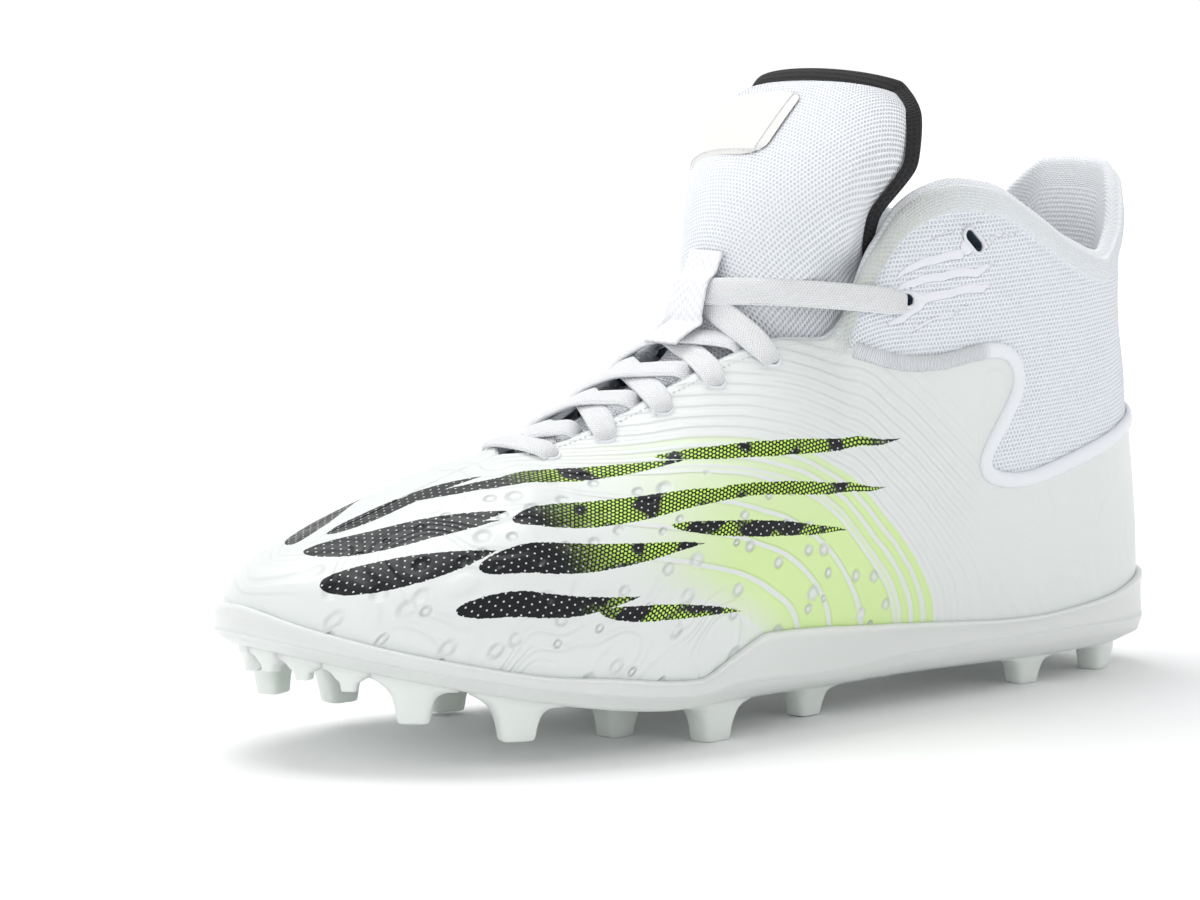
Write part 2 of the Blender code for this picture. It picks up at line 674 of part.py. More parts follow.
def make_plate():
    """The tray of the outsole, whose rim follows the upper, without its studs."""
    side, s = stations(26, 8)
    count, half = len(s), len(side)
    at, _ = place(s)
    foot = outer_face(s, np.zeros_like(s))
    nx, ny = plan_normal(s)
    out = np.stack([nx, ny, np.zeros_like(nx)], -1)
    under = under_z(foot[:, 0])
    rim_v = level_at_height(s, under + side_rim(at))
    crease_v = np.minimum(level_at_height(s, under + side_crease(at)), rim_v * 0.7)

    base = foot + out * PLATE_GAP
    base[:, 2] = floor_z(foot[:, 0])
    inner_low = lifted(s, rim_v * 0.5, np.full(count, PLATE_GAP))
    inner_top = lifted(s, rim_v, np.full(count, PLATE_GAP))
    outer_top = lifted(s, rim_v, np.full(count, PLATE_GAP + RIM_WALL))
    outer_top[:, 2] -= RIM_WALL * 0.3
    outer_low = lifted(s, (rim_v + crease_v) / 2, np.full(count, GAP + RIM_WALL * 1.2))
    crease = lifted(s, crease_v, np.full(count, GAP + RIM_WALL * 1.5))
    crease[:, 2] = under + side_crease(at)
    bottom = foot - out * side_inset(at)[:, None]
    bottom[:, 2] = under
    fall = ((floor_z(foot[:, 0]) - under) / (crease[:, 2] - under))[:, None]
    corner = bottom + (crease - bottom) * np.minimum(fall, 1)
    reach = ((corner - foot) * out).sum(-1)
    corner += out * np.maximum(PLATE_GAP + 0.7 * RIM_WALL - reach, 0)[:, None]
    rings = [base, inner_low, inner_top, outer_top, outer_low, crease, corner, bottom]

    vertices = [p for ring in rings for p in ring]
    faces = tube_faces(count, len(rings), closed_ends=False)

    def spine(first, height):
        """Closes the ring that starts at a point with a line of points along the middle."""
        start = len(vertices)
        for k in range(1, half - 1):
            middle = (vertices[first + k] + vertices[first + count - k]) / 2
            vertices.append(np.array([middle[0], middle[1], height(middle[0])]))

        def mid(k):
            return first + k if k in (0, half - 1) else start + k - 1

        for k in range(half - 1):
            for a, b in ((first + k, first + k + 1),
                         (first + (count - k) % count, first + (count - k - 1) % count)):
                corners = list(dict.fromkeys([a, b, mid(k + 1), mid(k)]))
                if len(corners) > 2:
                    faces.append(corners)

    spine(0, floor_z)
    spine(count * (len(rings) - 1), under_z)
    return add_object("outsole", vertices, faces, PALE_PLATE, 0.35)


def make_stud(side, at, inset, long, wide, drop):
    """One tapered blade, flared at its root and flush with the plate's side."""
    s = at if side > 0 else 2 - at
    nx, ny = plan_normal(s)
    out, along = np.array([nx, ny]), np.array([ny, -nx])
    edge = np.array([sole_x(s), sole_y(s)]) - out * (side_inset(at) + inset * BALL_WIDTH + GAP)
    root = float(under_z(edge[0]))
    level = min(root, STUD_HEIGHT)
    length, width = long * STUD_HEIGHT, wide * STUD_HEIGHT
    vertices = []
    for depth, scale_long, scale_wide in STUD_RINGS:
        z = root - depth * drop * level if depth >= 0 else root + STUD_SINK
        z = max(z, 0.0)
        draft = STUD_DRAFT * width * max(depth, 0)
        for a, b in STUD_CORNERS:
            p = (edge + along * (a * scale_long * length / 2)
                 - out * (b * scale_wide * width + draft))
            vertices.append((p[0], p[1], z))
    return add_object("stud", vertices, tube_faces(len(STUD_CORNERS), len(STUD_RINGS)), PALE_PLATE, 0.35)


def make_outsole():
    """The moulded plate with its studs and its toe and heel teeth in one piece."""
    plate = make_plate()
    combine(plate, [make_stud(*row[1:]) for row in STUDS], "UNION")
    finish(plate, PALE_PLATE, 0.35)
    return plate


def make_insole():
    """A soft footbed on the plate's floor, inside the upper's lower edge."""
    side, s = stations(26, 8)
    count, half = len(s), len(side)
    foot = outer_face(s, np.zeros_like(s))
    nx, ny = plan_normal(s)
    out = np.stack([nx, ny, np.zeros_like(nx)], -1)
    clear = SHELL_WALL + 3 * GAP
    rest = 2 * GAP
    low = foot - out * (clear + INSOLE_THICKNESS * 0.15)
    low[:, 2] = floor_z(foot[:, 0]) + rest
    middle = foot - out * clear
    middle[:, 2] = floor_z(foot[:, 0]) + rest + INSOLE_THICKNESS * 0.45
    high = foot - out * (clear + INSOLE_THICKNESS * 0.45)
    high[:, 2] = floor_z(foot[:, 0]) + rest + INSOLE_THICKNESS
    vertices = [p for ring in (low, middle, high) for p in ring]
    faces = tube_faces(count, 3, closed_ends=False)
    for first, height in ((0, rest), (2 * count, rest + INSOLE_THICKNESS * 0.85)):
        start = len(vertices)
        for k in range(1, half - 1):
            spot = (vertices[first + k] + vertices[first + count - k]) / 2
            vertices.append(np.array([spot[0], spot[1], float(floor_z(spot[0])) + height]))
        for k in range(half - 1):
            here = first + k if k == 0 else start + k - 1
            there = first + k + 1 if k == half - 2 else start + k
            for a, b in ((first + k, first + k + 1),
                         (first + (count - k) % count, first + (count - k - 1) % count)):
                corners = list(dict.fromkeys([a, b, there, here]))
                if len(corners) > 2:
                    faces.append(corners)
    return add_object("insole", vertices, faces, (0.80, 0.81, 0.82), 0.85)


def first_hit(trees, origin, towards, reach):
    """Distance to the nearest of the trees along a line, or None where it meets none."""
    found = None
    for tree in trees:
        hit = tree.ray_cast(Vector(origin), Vector(towards), reach)[3]
        if hit is not None and (found is None or hit < found):
            found = hit
    return found


def tuck_depth(tree, rows, shares):
    """How far each point of the tongue moves in so that it passes under the upper's edge."""
    fine = 4
    row = np.linspace(rows[0], rows[-1], (len(rows) - 1) * fine + 1)
    share = np.linspace(shares[0], shares[-1], (len(shares) - 1) * fine + 1)
    point, normal = tongue_face(row[:, None], share[None, :])
    deep = np.zeros(point.shape[:2])
    reach = 0.016
    for i, j in np.ndindex(deep.shape):
        start = point[i, j] - normal[i, j] * reach
        hit = first_hit([tree], start, normal[i, j], reach + TONGUE_CLEAR)
        if hit is not None:
            deep[i, j] = reach - hit + TONGUE_CLEAR
    wide = np.pad(deep, fine, mode="edge")
    tucked = np.zeros((len(rows), len(shares)))
    for i, j in np.ndindex(tucked.shape):
        tucked[i, j] = wide[i * fine:(i + 2) * fine + 1, j * fine:(j + 2) * fine + 1].max()
    return tucked


def make_tongue(upper_tree):
    """The padded tongue, curved round the foot's front and standing over the collar."""
    rows, shares = np.linspace(0, len(TONGUE_LINE) - 1, 18), np.linspace(-1, 1, 13)
    row, share = rows[:, None], shares[None, :]
    outside, normal = tongue_face(row, share)
    outside = outside - normal * tuck_depth(upper_tree, rows, shares)[..., None]
    thick = tongue["thick"](row) * TONGUE_THICKNESS * (1 - 0.55 * np.abs(share) ** 3)
    inside = outside - normal * thick[..., None]
    vertices = []
    for k in range(len(rows)):
        slope = math.radians(float(tongue["slope"](rows[k])))
        tuck = -0.2 * TONGUE_THICKNESS * np.array([math.sin(slope), 0, math.cos(slope)])
        left = (outside[k, -1] + inside[k, -1]) / 2 + tuck
        right = (outside[k, 0] + inside[k, 0]) / 2 + tuck
        vertices += [*outside[k], left, *inside[k][::-1], right]
    return add_object("tongue", vertices, tube_faces(len(vertices) // len(rows), len(rows)),
                      WHITE_MESH, 0.8)


def patch_on(rows, shares, low, high, face):
    """Points and faces of a thin patch over a face, between two heights off it."""
    count_r, count_s = len(rows), len(shares)
    points, normals = face(rows, shares)
    vertices = [*(points + normals * low).reshape(-1, 3), *(points + normals * high).reshape(-1, 3)]
    layer = count_r * count_s
    faces = []
    for r in range(count_r - 1):
        for c in range(count_s - 1):
            quad = [r * count_s + c, r * count_s + c + 1,
                    (r + 1) * count_s + c + 1, (r + 1) * count_s + c]
            faces += [quad[::-1], [q + layer for q in quad]]
    rim = ([c for c in range(count_s)] + [r * count_s + count_s - 1 for r in range(1, count_r)]
           + [(count_r - 1) * count_s + c for c in range(count_s - 2, -1, -1)]
           + [r * count_s for r in range(count_r - 2, 0, -1)])
    faces += [[a, b, b + layer, a + layer] for a, b in zip(rim, rim[1:] + rim[:1])]
    return vertices, faces


def make_tongue_label():
    """A plain stitched patch on the inner top corner of the tongue's face."""
    top, bottom, edge, inner_edge = LABEL_PLACE
    rows = np.linspace(bottom, top, 7)
    shares = np.linspace(edge, inner_edge, 7)

    def face(r, c):
        return tongue_face(r[:, None], c[None, :])

    vertices, faces = patch_on(rows, shares, 1.6 * GAP, 1.6 * GAP + LABEL_THICKNESS, face)
    return add_object("tongue_label", vertices, faces, (0.88, 0.88, 0.86), 0.6)


def seam_route(count):
    """Places along the raised seam of one side, from the heel's middle to the throat."""
    at, z = SEAM["at"], SEAM["z"] * HEEL_TAB_HEIGHT
    run = np.concatenate([[0], np.cumsum(np.hypot(np.diff(at) * FOOT_LENGTH, np.diff(z)))])
    knots = np.concatenate([-run[:0:-1], run])
    both = soft_curve(knots, np.concatenate([-at[:0:-1], at]))
    high = soft_curve(knots, np.concatenate([z[:0:-1], z]))
    t = np.linspace(-run[-1], run[-1], count)
    return both(t), high(t)


def make_ankle_seam(upper_tree):
    """The ribbed raised seam where the moulded shell meets the ankle's mesh."""
    turn, height = seam_route(67)
    s = turn % 2.0
    v = level_at_height(s, height)
    step = 1e-3
    point, normal = outer_face(s, v), face_normal(s, v)
    run = np.gradient(point, axis=0)
    across = np.cross(normal, run)
    across /= np.linalg.norm(across, axis=-1, keepdims=True)
    per_s = (outer_face(s + step, v) - outer_face(s - step, v)) / (2 * step)
    per_v = (outer_face(s, v + step) - outer_face(s, v - step)) / (2 * step)
    ss, sv, vv = ((per_s * per_s).sum(-1), (per_s * per_v).sum(-1), (per_v * per_v).sum(-1))
    along_s, along_v = (across * per_s).sum(-1), (across * per_v).sum(-1)
    det = ss * vv - sv * sv
    ds, dv = (along_s * vv - along_v * sv) / det, (along_v * ss - along_s * sv) / det
    vertices = []
    reach = 0.006
    for k in range(len(s)):
        for share, height in SEAM_SECTION:
            off = share * SEAM_WIDTH / 2
            s_here, v_here = s[k] + ds[k] * off, v[k] + dv[k] * off
            base, out = outer_face(s_here, v_here), face_normal(s_here, v_here)
            hit = first_hit([upper_tree], base + out * reach, -out, 2 * reach)
            rest = 0.0 if hit is None else reach - hit
            vertices.append(base + out * (max(rest, 0.0) + SEAM_GAP + height * SEAM_HEIGHT))
    return add_object("ankle_seam", vertices, tube_faces(len(SEAM_SECTION), len(s)), (0.86, 0.87, 0.90), 0.7)


def taut_line(height):
    """Heights of a line pulled taut over a row of heights."""
    taut = height.copy()
    last = len(height) - 1
    for k in range(len(height)):
        for a in range(k + 1):
            for b in range(max(k, a + 1), last + 1):
                share = (k - a) / (b - a)
                taut[k] = max(taut[k], height[a] * (1 - share) + height[b] * share)
    return taut


def lay_strand(trees, stops, count, extra=0.0):
    """A flat lace pulled taut from stop to stop over what lies beneath it.

    Each stop is a point with its direction away from the foot.
    """
    fine, reach = 4, 0.06
    middle, across, outs = [], [], []
    for (start, start_out), (end, end_out) in zip(stops, stops[1:]):
        share = np.linspace(0, 1, (count - 1) * fine + 1)[:, None]
        line = start + (end - start) * share
        out = start_out * (1 - share) + end_out * share
        out /= np.linalg.norm(out, axis=-1, keepdims=True)
        side = np.cross(end - start, out)
        side /= np.linalg.norm(side, axis=-1, keepdims=True)
        height = np.full(len(line), -reach)
        for k in range(len(line)):
            for off in (-0.5, -0.25, 0.0, 0.25, 0.5):
                origin = line[k] + out[k] * reach + side[k] * off * LACE_WIDTH
                hit = first_hit(trees, origin, -out[k], 2 * reach)
                if hit is not None:
                    height[k] = max(height[k], reach - hit)
        rise = taut_line(height) + LACE_REST + LACE_THICKNESS / 2 + extra
        path = (line + out * rise[:, None])[::fine]
        if middle:
            step = path[0] - middle[-1]
            middle[-1] = middle[-1] + step / 2
            across[-1] = across[-1] + side[0]
            across[-1] /= np.linalg.norm(across[-1])
            path = path[1:]
            middle += list(path)
            across += list(side[::fine][1:])
            outs += list(out[::fine][1:])
        else:
            middle, across, outs = list(path), list(side[::fine]), list(out[::fine])
    vertices = []
    for point, side, out in zip(middle, across, outs):
        for a, b in LACE_SECTION:
            vertices.append(point + side * a * LACE_WIDTH / 2 + out * b * LACE_THICKNESS / 2)
    return vertices, tube_faces(len(LACE_SECTION), len(middle))


def throat_point(at, side, in_from_edge):
    """A point over the throat, a little inside its edge, and the way up from the foot there."""
    s = at if side > 0 else 2 - at
    edge = outer_face(s, 1.0)
    up = np.array([math.sin(THROAT_SLOPE), 0, math.cos(THROAT_SLOPE)])
    return edge - np.array([0, side * in_from_edge, 0]), up


def make_laces(trees):
    """The lowest bar, four crossings and the top crossing that runs out to the ankle."""
    places = {name: (at, from_edge * FOOT_LENGTH) for name, at, from_edge, _ in EYELETS}

    def eyelet(name, side):
        """The middle of an eyelet and its direction away from the foot."""
        at, from_edge = places[name]
        s, v = eyelet_place(at, from_edge, side)
        return outer_face(s, v), face_normal(s, v)

    def strand(name, stops, count, extra=0.0):
        vertices, faces = lay_strand(trees, stops, count, extra)
        return add_object(name, vertices, faces, LACE_WHITE, 0.7)

    def crossed(name, strands):
        combine(strands[0], strands[1:], "UNION")
        finish(strands[0], LACE_WHITE, 0.7)
        strands[0].name = name
        return strands[0]

    made = [strand("lace_bar", [eyelet("0", 1), eyelet("0", -1)], 9)]
    for k in range(1, 4):
        strands = []
        for side in (1, -1):
            far_at = places[str(k + 1)][0] + LACE_STOP
            far = throat_point(far_at, -side, LACE_WIDTH * 0.62)
            strands.append(strand("strand", [eyelet(str(k), side), far], 9, LACE_STACK * (side < 0)))
        made.append(crossed(f"lace_cross_{k}", strands))
        trees = trees + [tree_of(made[-1])]
    hub = tongue_face(KEEPER_ROW, 0.0)
    top = [strand("strand", [eyelet("4", side), hub, eyelet("5", -side)], 9, LACE_STACK * (side < 0))
           for side in (1, -1)]
    return [*made, crossed("lace_top", top)]


def make_keeper(trees):
    """The webbing loop that holds the top crossing on the tongue."""
    rows = np.linspace(*KEEPER_SPAN, 13)
    point, normal = tongue_face(rows, np.zeros_like(rows))
    lift = np.full(len(rows), GAP)
    width = KEEPER_WIDTH / 2
    for k in range(len(rows)):
        for off in np.linspace(-1, 1, 7):
            origin = point[k] + normal[k] * 0.03 + np.array([0, off * width, 0])
            hit = first_hit(trees, origin, -normal[k], 0.04)
            if hit is not None:
                lift[k] = max(lift[k], 0.03 - hit + 2 * GAP)
    wide = np.pad(lift, 1, mode="edge")
    lift = np.maximum(np.maximum(wide[:-2], wide[2:]), lift)
    vertices = []
    for k in range(len(rows)):
        for off, up in ((-1, 0), (1, 0), (1, 1), (-1, 1)):
            vertices.append(point[k] + normal[k] * (lift[k] + up * KEEPER_THICKNESS)
                            + np.array([0, off * width, 0]))
    return add_object("lace_keeper", vertices, tube_faces(4, len(rows)), WHITE_MESH, 0.75)


def tree_of(piece):
    """A search tree over a piece's faces."""
    vertices = [v.co.copy() for v in piece.data.vertices]
    return BVHTree.FromPolygons(vertices, [tuple(p.vertices) for p in piece.data.polygons])


def seat_in_frame(pieces):
    """Moves the whole shoe so that the middle of its footprint is the origin."""
    points = np.array([v.co for piece in pieces for v in piece.data.vertices])
    middle = (points.min(axis=0) + points.max(axis=0)) / 2
    for piece in pieces:
        piece.data.transform(Matrix.Translation((-middle[0], -middle[1], 0)))


def main():
    for piece in list(bpy.data.objects):
        bpy.data.objects.remove(piece)
    upper, outsole, insole = make_upper(), make_outsole(), make_insole()
    upper_tree = tree_of(upper)
    tongue_body = make_tongue(upper_tree)
    label, seam = make_tongue_label(), make_ankle_seam(upper_tree)
    laces = make_laces([upper_tree, tree_of(tongue_body)])
    keeper = make_keeper([tree_of(tongue_body), tree_of(laces[-1])])
    seat_in_frame([upper, outsole, insole, tongue_body, label, seam, keeper, *laces])


main()
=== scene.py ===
"""The looks of the lacrosse cleat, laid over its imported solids."""

import math

import bmesh
import bpy
import numpy as np
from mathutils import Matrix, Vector
from mathutils.bvhtree import BVHTree
from mathutils.kdtree import KDTree

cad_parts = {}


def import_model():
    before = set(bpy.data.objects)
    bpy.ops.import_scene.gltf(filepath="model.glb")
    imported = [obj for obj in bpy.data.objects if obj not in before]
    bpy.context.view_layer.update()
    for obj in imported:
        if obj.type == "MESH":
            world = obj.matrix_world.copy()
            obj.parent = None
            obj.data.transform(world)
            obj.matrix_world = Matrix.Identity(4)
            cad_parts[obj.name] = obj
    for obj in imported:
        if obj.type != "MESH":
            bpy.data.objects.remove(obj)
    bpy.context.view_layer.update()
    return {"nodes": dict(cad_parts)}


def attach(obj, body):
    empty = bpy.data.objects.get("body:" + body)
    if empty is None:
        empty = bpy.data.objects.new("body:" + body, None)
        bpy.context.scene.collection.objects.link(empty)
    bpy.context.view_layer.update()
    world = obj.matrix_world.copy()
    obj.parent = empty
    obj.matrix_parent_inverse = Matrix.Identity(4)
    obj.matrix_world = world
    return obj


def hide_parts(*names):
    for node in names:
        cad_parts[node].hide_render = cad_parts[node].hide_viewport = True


FOOT_LENGTH = 0.292
BALL_WIDTH = 0.100
HEEL_TAB_HEIGHT = 0.141
TOE_SPRING = 0.019
TOE_SHIFT = 0.012

# Walls of the upper
SHELL_WALL = 0.0022
PADDED_WALL = 0.0048
EDGE_RISE = 0.0020
EYELET_RADIUS = 0.0026

# The plate
STUD_HEIGHT = 0.0102
HEEL_STUD_HEIGHT = 0.0076
PLATE_THICKNESS = 0.0032
RIM_WALL = 0.0013
SIDE_HEIGHT = 0.0185

STUD_DRAFT = 0.05

# Loose layers
INSOLE_THICKNESS = 0.0038
TONGUE_WIDTH = 0.078
TONGUE_THICKNESS = 0.0065
LACE_WIDTH = 0.0068
LACE_THICKNESS = 0.0016
SEAM_WIDTH = 0.0052
SEAM_HEIGHT = 0.0012
LABEL_THICKNESS = 0.0006
KEEPER_WIDTH = 0.0130
KEEPER_THICKNESS = 0.0012

# Clearance between pieces that touch
GAP = 0.0003
PLATE_GAP = 0.00042
TONGUE_CLEAR = 0.0008

# Places along the outline, from 0 at the heel to 1 at the tip of the toe
THROAT_END = 0.780
FLAP_FOOT = 0.530
SPRING_START = 0.66
SPRING_CURVE = 1.4

# Slope of the throat, seen from the side
THROAT_SLOPE = math.radians(28)

# The sole line: x as a share of the foot's length, outer and inner as shares of the ball's
# width, lean of the wall out of the upright in degrees, reach as a share of the column
SOLE_LINE = (
    # at,   x,     outer,  inner, lean, reach
    (0.00, 0.000, 0.000, 0.000, 3, 0.38),
    (0.05, 0.017, 0.190, 0.190, 4, 0.36),
    (0.11, 0.068, 0.285, 0.290, 6, 0.34),
    (0.20, 0.171, 0.325, 0.325, 9, 0.32),
    (0.32, 0.315, 0.340, 0.290, 14, 0.30),
    (0.44, 0.452, 0.375, 0.270, 20, 0.32),
    (0.56, 0.589, 0.445, 0.340, 22, 0.34),
    (0.66, 0.702, 0.475, 0.430, 20, 0.36),
    (0.76, 0.808, 0.420, 0.460, 18, 0.38),
    (0.86, 0.900, 0.275, 0.415, 14, 0.42),
    (0.93, 0.954, 0.090, 0.315, 10, 0.46),
    (1.00, 0.982, -0.125, 0.125, 6, 0.50),
)

# The top line: collar, flap, throat and ridge. x is a share of the foot's length, half the
# half width as a share of the ball's width, z a share of the heel tab's height, tilt the
# slope of the wall out of the upright in degrees, reach a share of the column
TOP_LINE = (
    # at,    x,     half,  z,    tilt, reach
    (0.000, 0.022, 0.000, 1.000, -12, 0.28),
    (0.040, 0.026, 0.120, 0.995, -10, 0.28),
    (0.080, 0.046, 0.215, 0.945, -6, 0.30),
    (0.110, 0.070, 0.270, 0.870, -2, 0.32),
    (0.145, 0.100, 0.305, 0.830, 2, 0.34),
    (0.190, 0.145, 0.320, 0.860, 4, 0.36),
    (0.240, 0.205, 0.330, 0.928, 6, 0.36),
    (0.285, 0.250, 0.322, 0.973, 8, 0.36),
    (0.330, 0.295, 0.312, 0.985, 10, 0.36),
    (0.365, 0.330, 0.305, 0.970, 12, 0.36),
    (0.400, 0.362, 0.300, 0.936, 14, 0.36),
    (0.430, 0.386, 0.296, 0.882, 16, 0.36),
    (0.460, 0.403, 0.290, 0.837, 20, 0.36),
    (0.490, 0.417, 0.280, 0.780, 24, 0.36),
    (0.515, 0.426, 0.268, 0.730, 30, 0.36),
    (0.535, 0.440, 0.250, 0.704, 36, 0.36),
    (0.565, 0.475, 0.215, 0.708, 42, 0.36),
    (0.600, 0.520, 0.182, 0.685, 48, 0.36),
    (0.650, 0.580, 0.147, 0.634, 54, 0.36),
    (0.700, 0.640, 0.108, 0.574, 62, 0.36),
    (0.740, 0.690, 0.080, 0.534, 72, 0.36),
    (0.765, 0.718, 0.050, 0.518, 82, 0.36),
    (0.780, 0.730, 0.000, 0.512, 90, 0.38),
    (0.850, 0.790, 0.000, 0.473, 90, 0.32),
    (0.930, 0.855, 0.000, 0.420, 90, 0.36),
    (1.000, 0.905, 0.000, 0.385, 90, 0.50),
)

# The plate's side: rim and crease above the plate's underside as shares of the side's
# height, inset of the bottom edge as a share of the ball's width
PLATE_SIDE = (
    # at,   rim,   crease, inset
    (0.000, 1.150, 0.40, 0.060),
    (0.070, 1.050, 0.40, 0.050),
    (0.130, 0.840, 0.42, 0.040),
    (0.170, 0.760, 0.44, 0.040),
    (0.225, 0.700, 0.44, 0.050),
    (0.365, 0.870, 0.42, 0.080),
    (0.420, 0.950, 0.36, 0.080),
    (0.490, 1.000, 0.30, 0.060),
    (0.555, 0.990, 0.30, 0.030),
    (0.580, 0.780, 0.28, 0.020),
    (0.615, 0.460, 0.24, 0.020),
    (0.690, 0.470, 0.24, 0.020),
    (0.760, 0.400, 0.22, 0.020),
    (0.860, 0.420, 0.22, 0.030),
    (0.930, 0.490, 0.24, 0.035),
    (1.000, 0.620, 0.26, 0.040),
)


# Studs and teeth: side is 1 for the outer and -1 for the inner side, inset from the plate's
# bottom edge as a share of the ball's width, long and wide as shares of the stud's height,
# drop as a share of the studs' own height
STUDS = (
    # name,      side, at,    inset, long, wide, drop
    ("toe",         1, 0.862, 0.000, 1.15, 0.85, 1.00),
    ("front",       1, 0.770, 0.000, 1.25, 0.90, 1.00),
    ("ball",        1, 0.570, 0.000, 1.35, 0.95, 1.00),
    ("waist",       1, 0.440, 0.000, 1.15, 0.85, 1.00),
    ("heel_side",   1, 0.205, 0.000, 1.10, 0.85, 1.00),
    ("heel_back",   1, 0.095, 0.000, 1.15, 0.90, 1.00),
    ("toe",        -1, 0.875, 0.000, 1.15, 0.85, 1.00),
    ("front",      -1, 0.770, 0.000, 1.25, 0.90, 1.00),
    ("ball",       -1, 0.660, 0.000, 1.35, 0.95, 1.00),
    ("waist",      -1, 0.540, 0.000, 1.15, 0.85, 1.00),
    ("heel_side",  -1, 0.205, 0.000, 1.10, 0.85, 1.00),
    ("heel_back",  -1, 0.095, 0.000, 1.15, 0.90, 1.00),
    ("middle",      1, 0.610, 0.220, 1.20, 0.95, 1.00),
    ("toe_tooth",   1, 0.990, 0.010, 0.75, 0.50, 0.42),
    ("toe_tooth",   1, 0.950, 0.006, 0.75, 0.50, 0.45),
    ("toe_tooth",   1, 0.912, 0.004, 0.75, 0.50, 0.50),
    ("toe_tooth",  -1, 0.960, 0.006, 0.75, 0.50, 0.45),
    ("toe_tooth",  -1, 0.920, 0.004, 0.75, 0.50, 0.50),
    ("heel_tooth",  1, 0.010, 0.006, 0.60, 0.45, 0.45),
)

# Eyelets: place along the outline, distance from the edge as a share of the foot's length,
# and length of the hole in radii
EYELETS = (
    # name, at,  from_edge, long
    ("0", 0.752, 0.0190, 2.2),
    ("1", 0.712, 0.0190, 2.2),
    ("2", 0.668, 0.0190, 2.2),
    ("3", 0.626, 0.0190, 2.2),
    ("4", 0.582, 0.0190, 2.2),
    ("5", 0.406, 0.0720, 2.4),
    ("6", 0.315, 0.0490, 3.4),
)

# The raised seam from the middle of the heel to the throat: place along the outline and
# height as a share of the heel tab's
SEAM_LINE = (
    # at,   z
    (0.000, 0.525),
    (0.083, 0.500),
    (0.158, 0.462),
    (0.215, 0.430),
    (0.268, 0.418),
    (0.300, 0.450),
    (0.290, 0.505),
    (0.272, 0.560),
    (0.263, 0.610),
    (0.272, 0.652),
    (0.305, 0.668),
    (0.350, 0.657),
    (0.400, 0.656),
    (0.450, 0.668),
    (0.500, 0.684),
)

# Laces: where a crossing ends short of the next eyelet, as a share of the outline, how far an
# end goes past its eyelet, and how deep it dips into a hole or under the throat's edge
LACE_STOP = 0.012
LACE_PAST = 0.0012
EYELET_DIP = 0.0042
EDGE_DIP = 0.0030

# The keeper and the label on the tongue, in rows of its table and shares of its width
KEEPER_ROW = 5.8
KEEPER_SPAN = (5.05, 6.55)
LABEL_PLACE = (9.80, 8.50, -0.74, 0.10)

# Radius of the stitches' thread in metres
THREAD_RADIUS = 0.00026

# The tongue's front line from the toe up: x and z as shares of the foot's length and the heel
# tab's height, slope of the line in degrees, half width as a share of the tongue's width, sag
# of the edges as a share of it, sweep of the section in degrees, thickness as a share
TONGUE_LINE = (
    # x,    z,     slope, half, sag,  sweep, thick
    (0.765, 0.460, 22, 0.16, 0.04, 80, 0.30),
    (0.728, 0.490, 24, 0.20, 0.06, 80, 0.40),
    (0.665, 0.538, 27, 0.27, 0.11, 80, 0.50),
    (0.600, 0.590, 32, 0.33, 0.17, 82, 0.60),
    (0.545, 0.652, 44, 0.37, 0.24, 86, 0.80),
    (0.512, 0.730, 68, 0.40, 0.34, 92, 0.95),
    (0.505, 0.800, 84, 0.42, 0.42, 94, 1.00),
    (0.497, 0.880, 74, 0.44, 0.44, 92, 1.00),
    (0.476, 0.985, 62, 0.49, 0.38, 88, 1.00),
    (0.435, 1.090, 56, 0.52, 0.26, 84, 1.00),
    (0.396, 1.165, 52, 0.47, 0.16, 80, 0.90),
    (0.380, 1.187, 52, 0.38, 0.10, 76, 0.60),
)


def read_rows(rows, columns):
    """Returns the table's columns by name."""
    return {name: np.array([row[i] for row in rows], float) for i, name in enumerate(columns)}


SOLE = read_rows(SOLE_LINE, ("at", "x", "outer", "inner", "lean", "reach"))
TOP = read_rows(TOP_LINE, ("at", "x", "half", "z", "tilt", "reach"))
SIDE = read_rows(PLATE_SIDE, ("at", "rim", "crease", "inset"))
SEAM = read_rows(SEAM_LINE, ("at", "z"))
TONGUE = read_rows(TONGUE_LINE, ("x", "z", "slope", "half", "sag", "sweep", "thick"))


def smooth(value):
    """Rises softly from 0 to 1."""
    value = np.clip(value, 0.0, 1.0)
    return value * value * (3 - 2 * value)


def curve_reader(knots, values, slopes, step, bring_in):
    """Returns a function that reads a cubic curve, or its slope, at any places.

    bring_in moves a place into the range of the knots.
    """
    def read(place, slope=False):
        """The curve's value or slope at the places."""
        place = bring_in(np.asarray(place, float))
        i = np.clip(np.searchsorted(knots, place, side="right") - 1, 0, len(step) - 1)
        j = (i + 1) % len(knots)
        h = step[i]
        t = (place - knots[i]) / h
        if slope:
            return (6 * t * (t - 1) * (values[i] - values[j]) / h
                    + (3 * t * t - 4 * t + 1) * slopes[i] + (3 * t * t - 2 * t) * slopes[j])
        return ((2 * t ** 3 - 3 * t ** 2 + 1) * values[i] + (3 * t ** 2 - 2 * t ** 3) * values[j]
                + h * (t ** 3 - 2 * t ** 2 + t) * slopes[i] + h * (t ** 3 - t ** 2) * slopes[j])

    return read


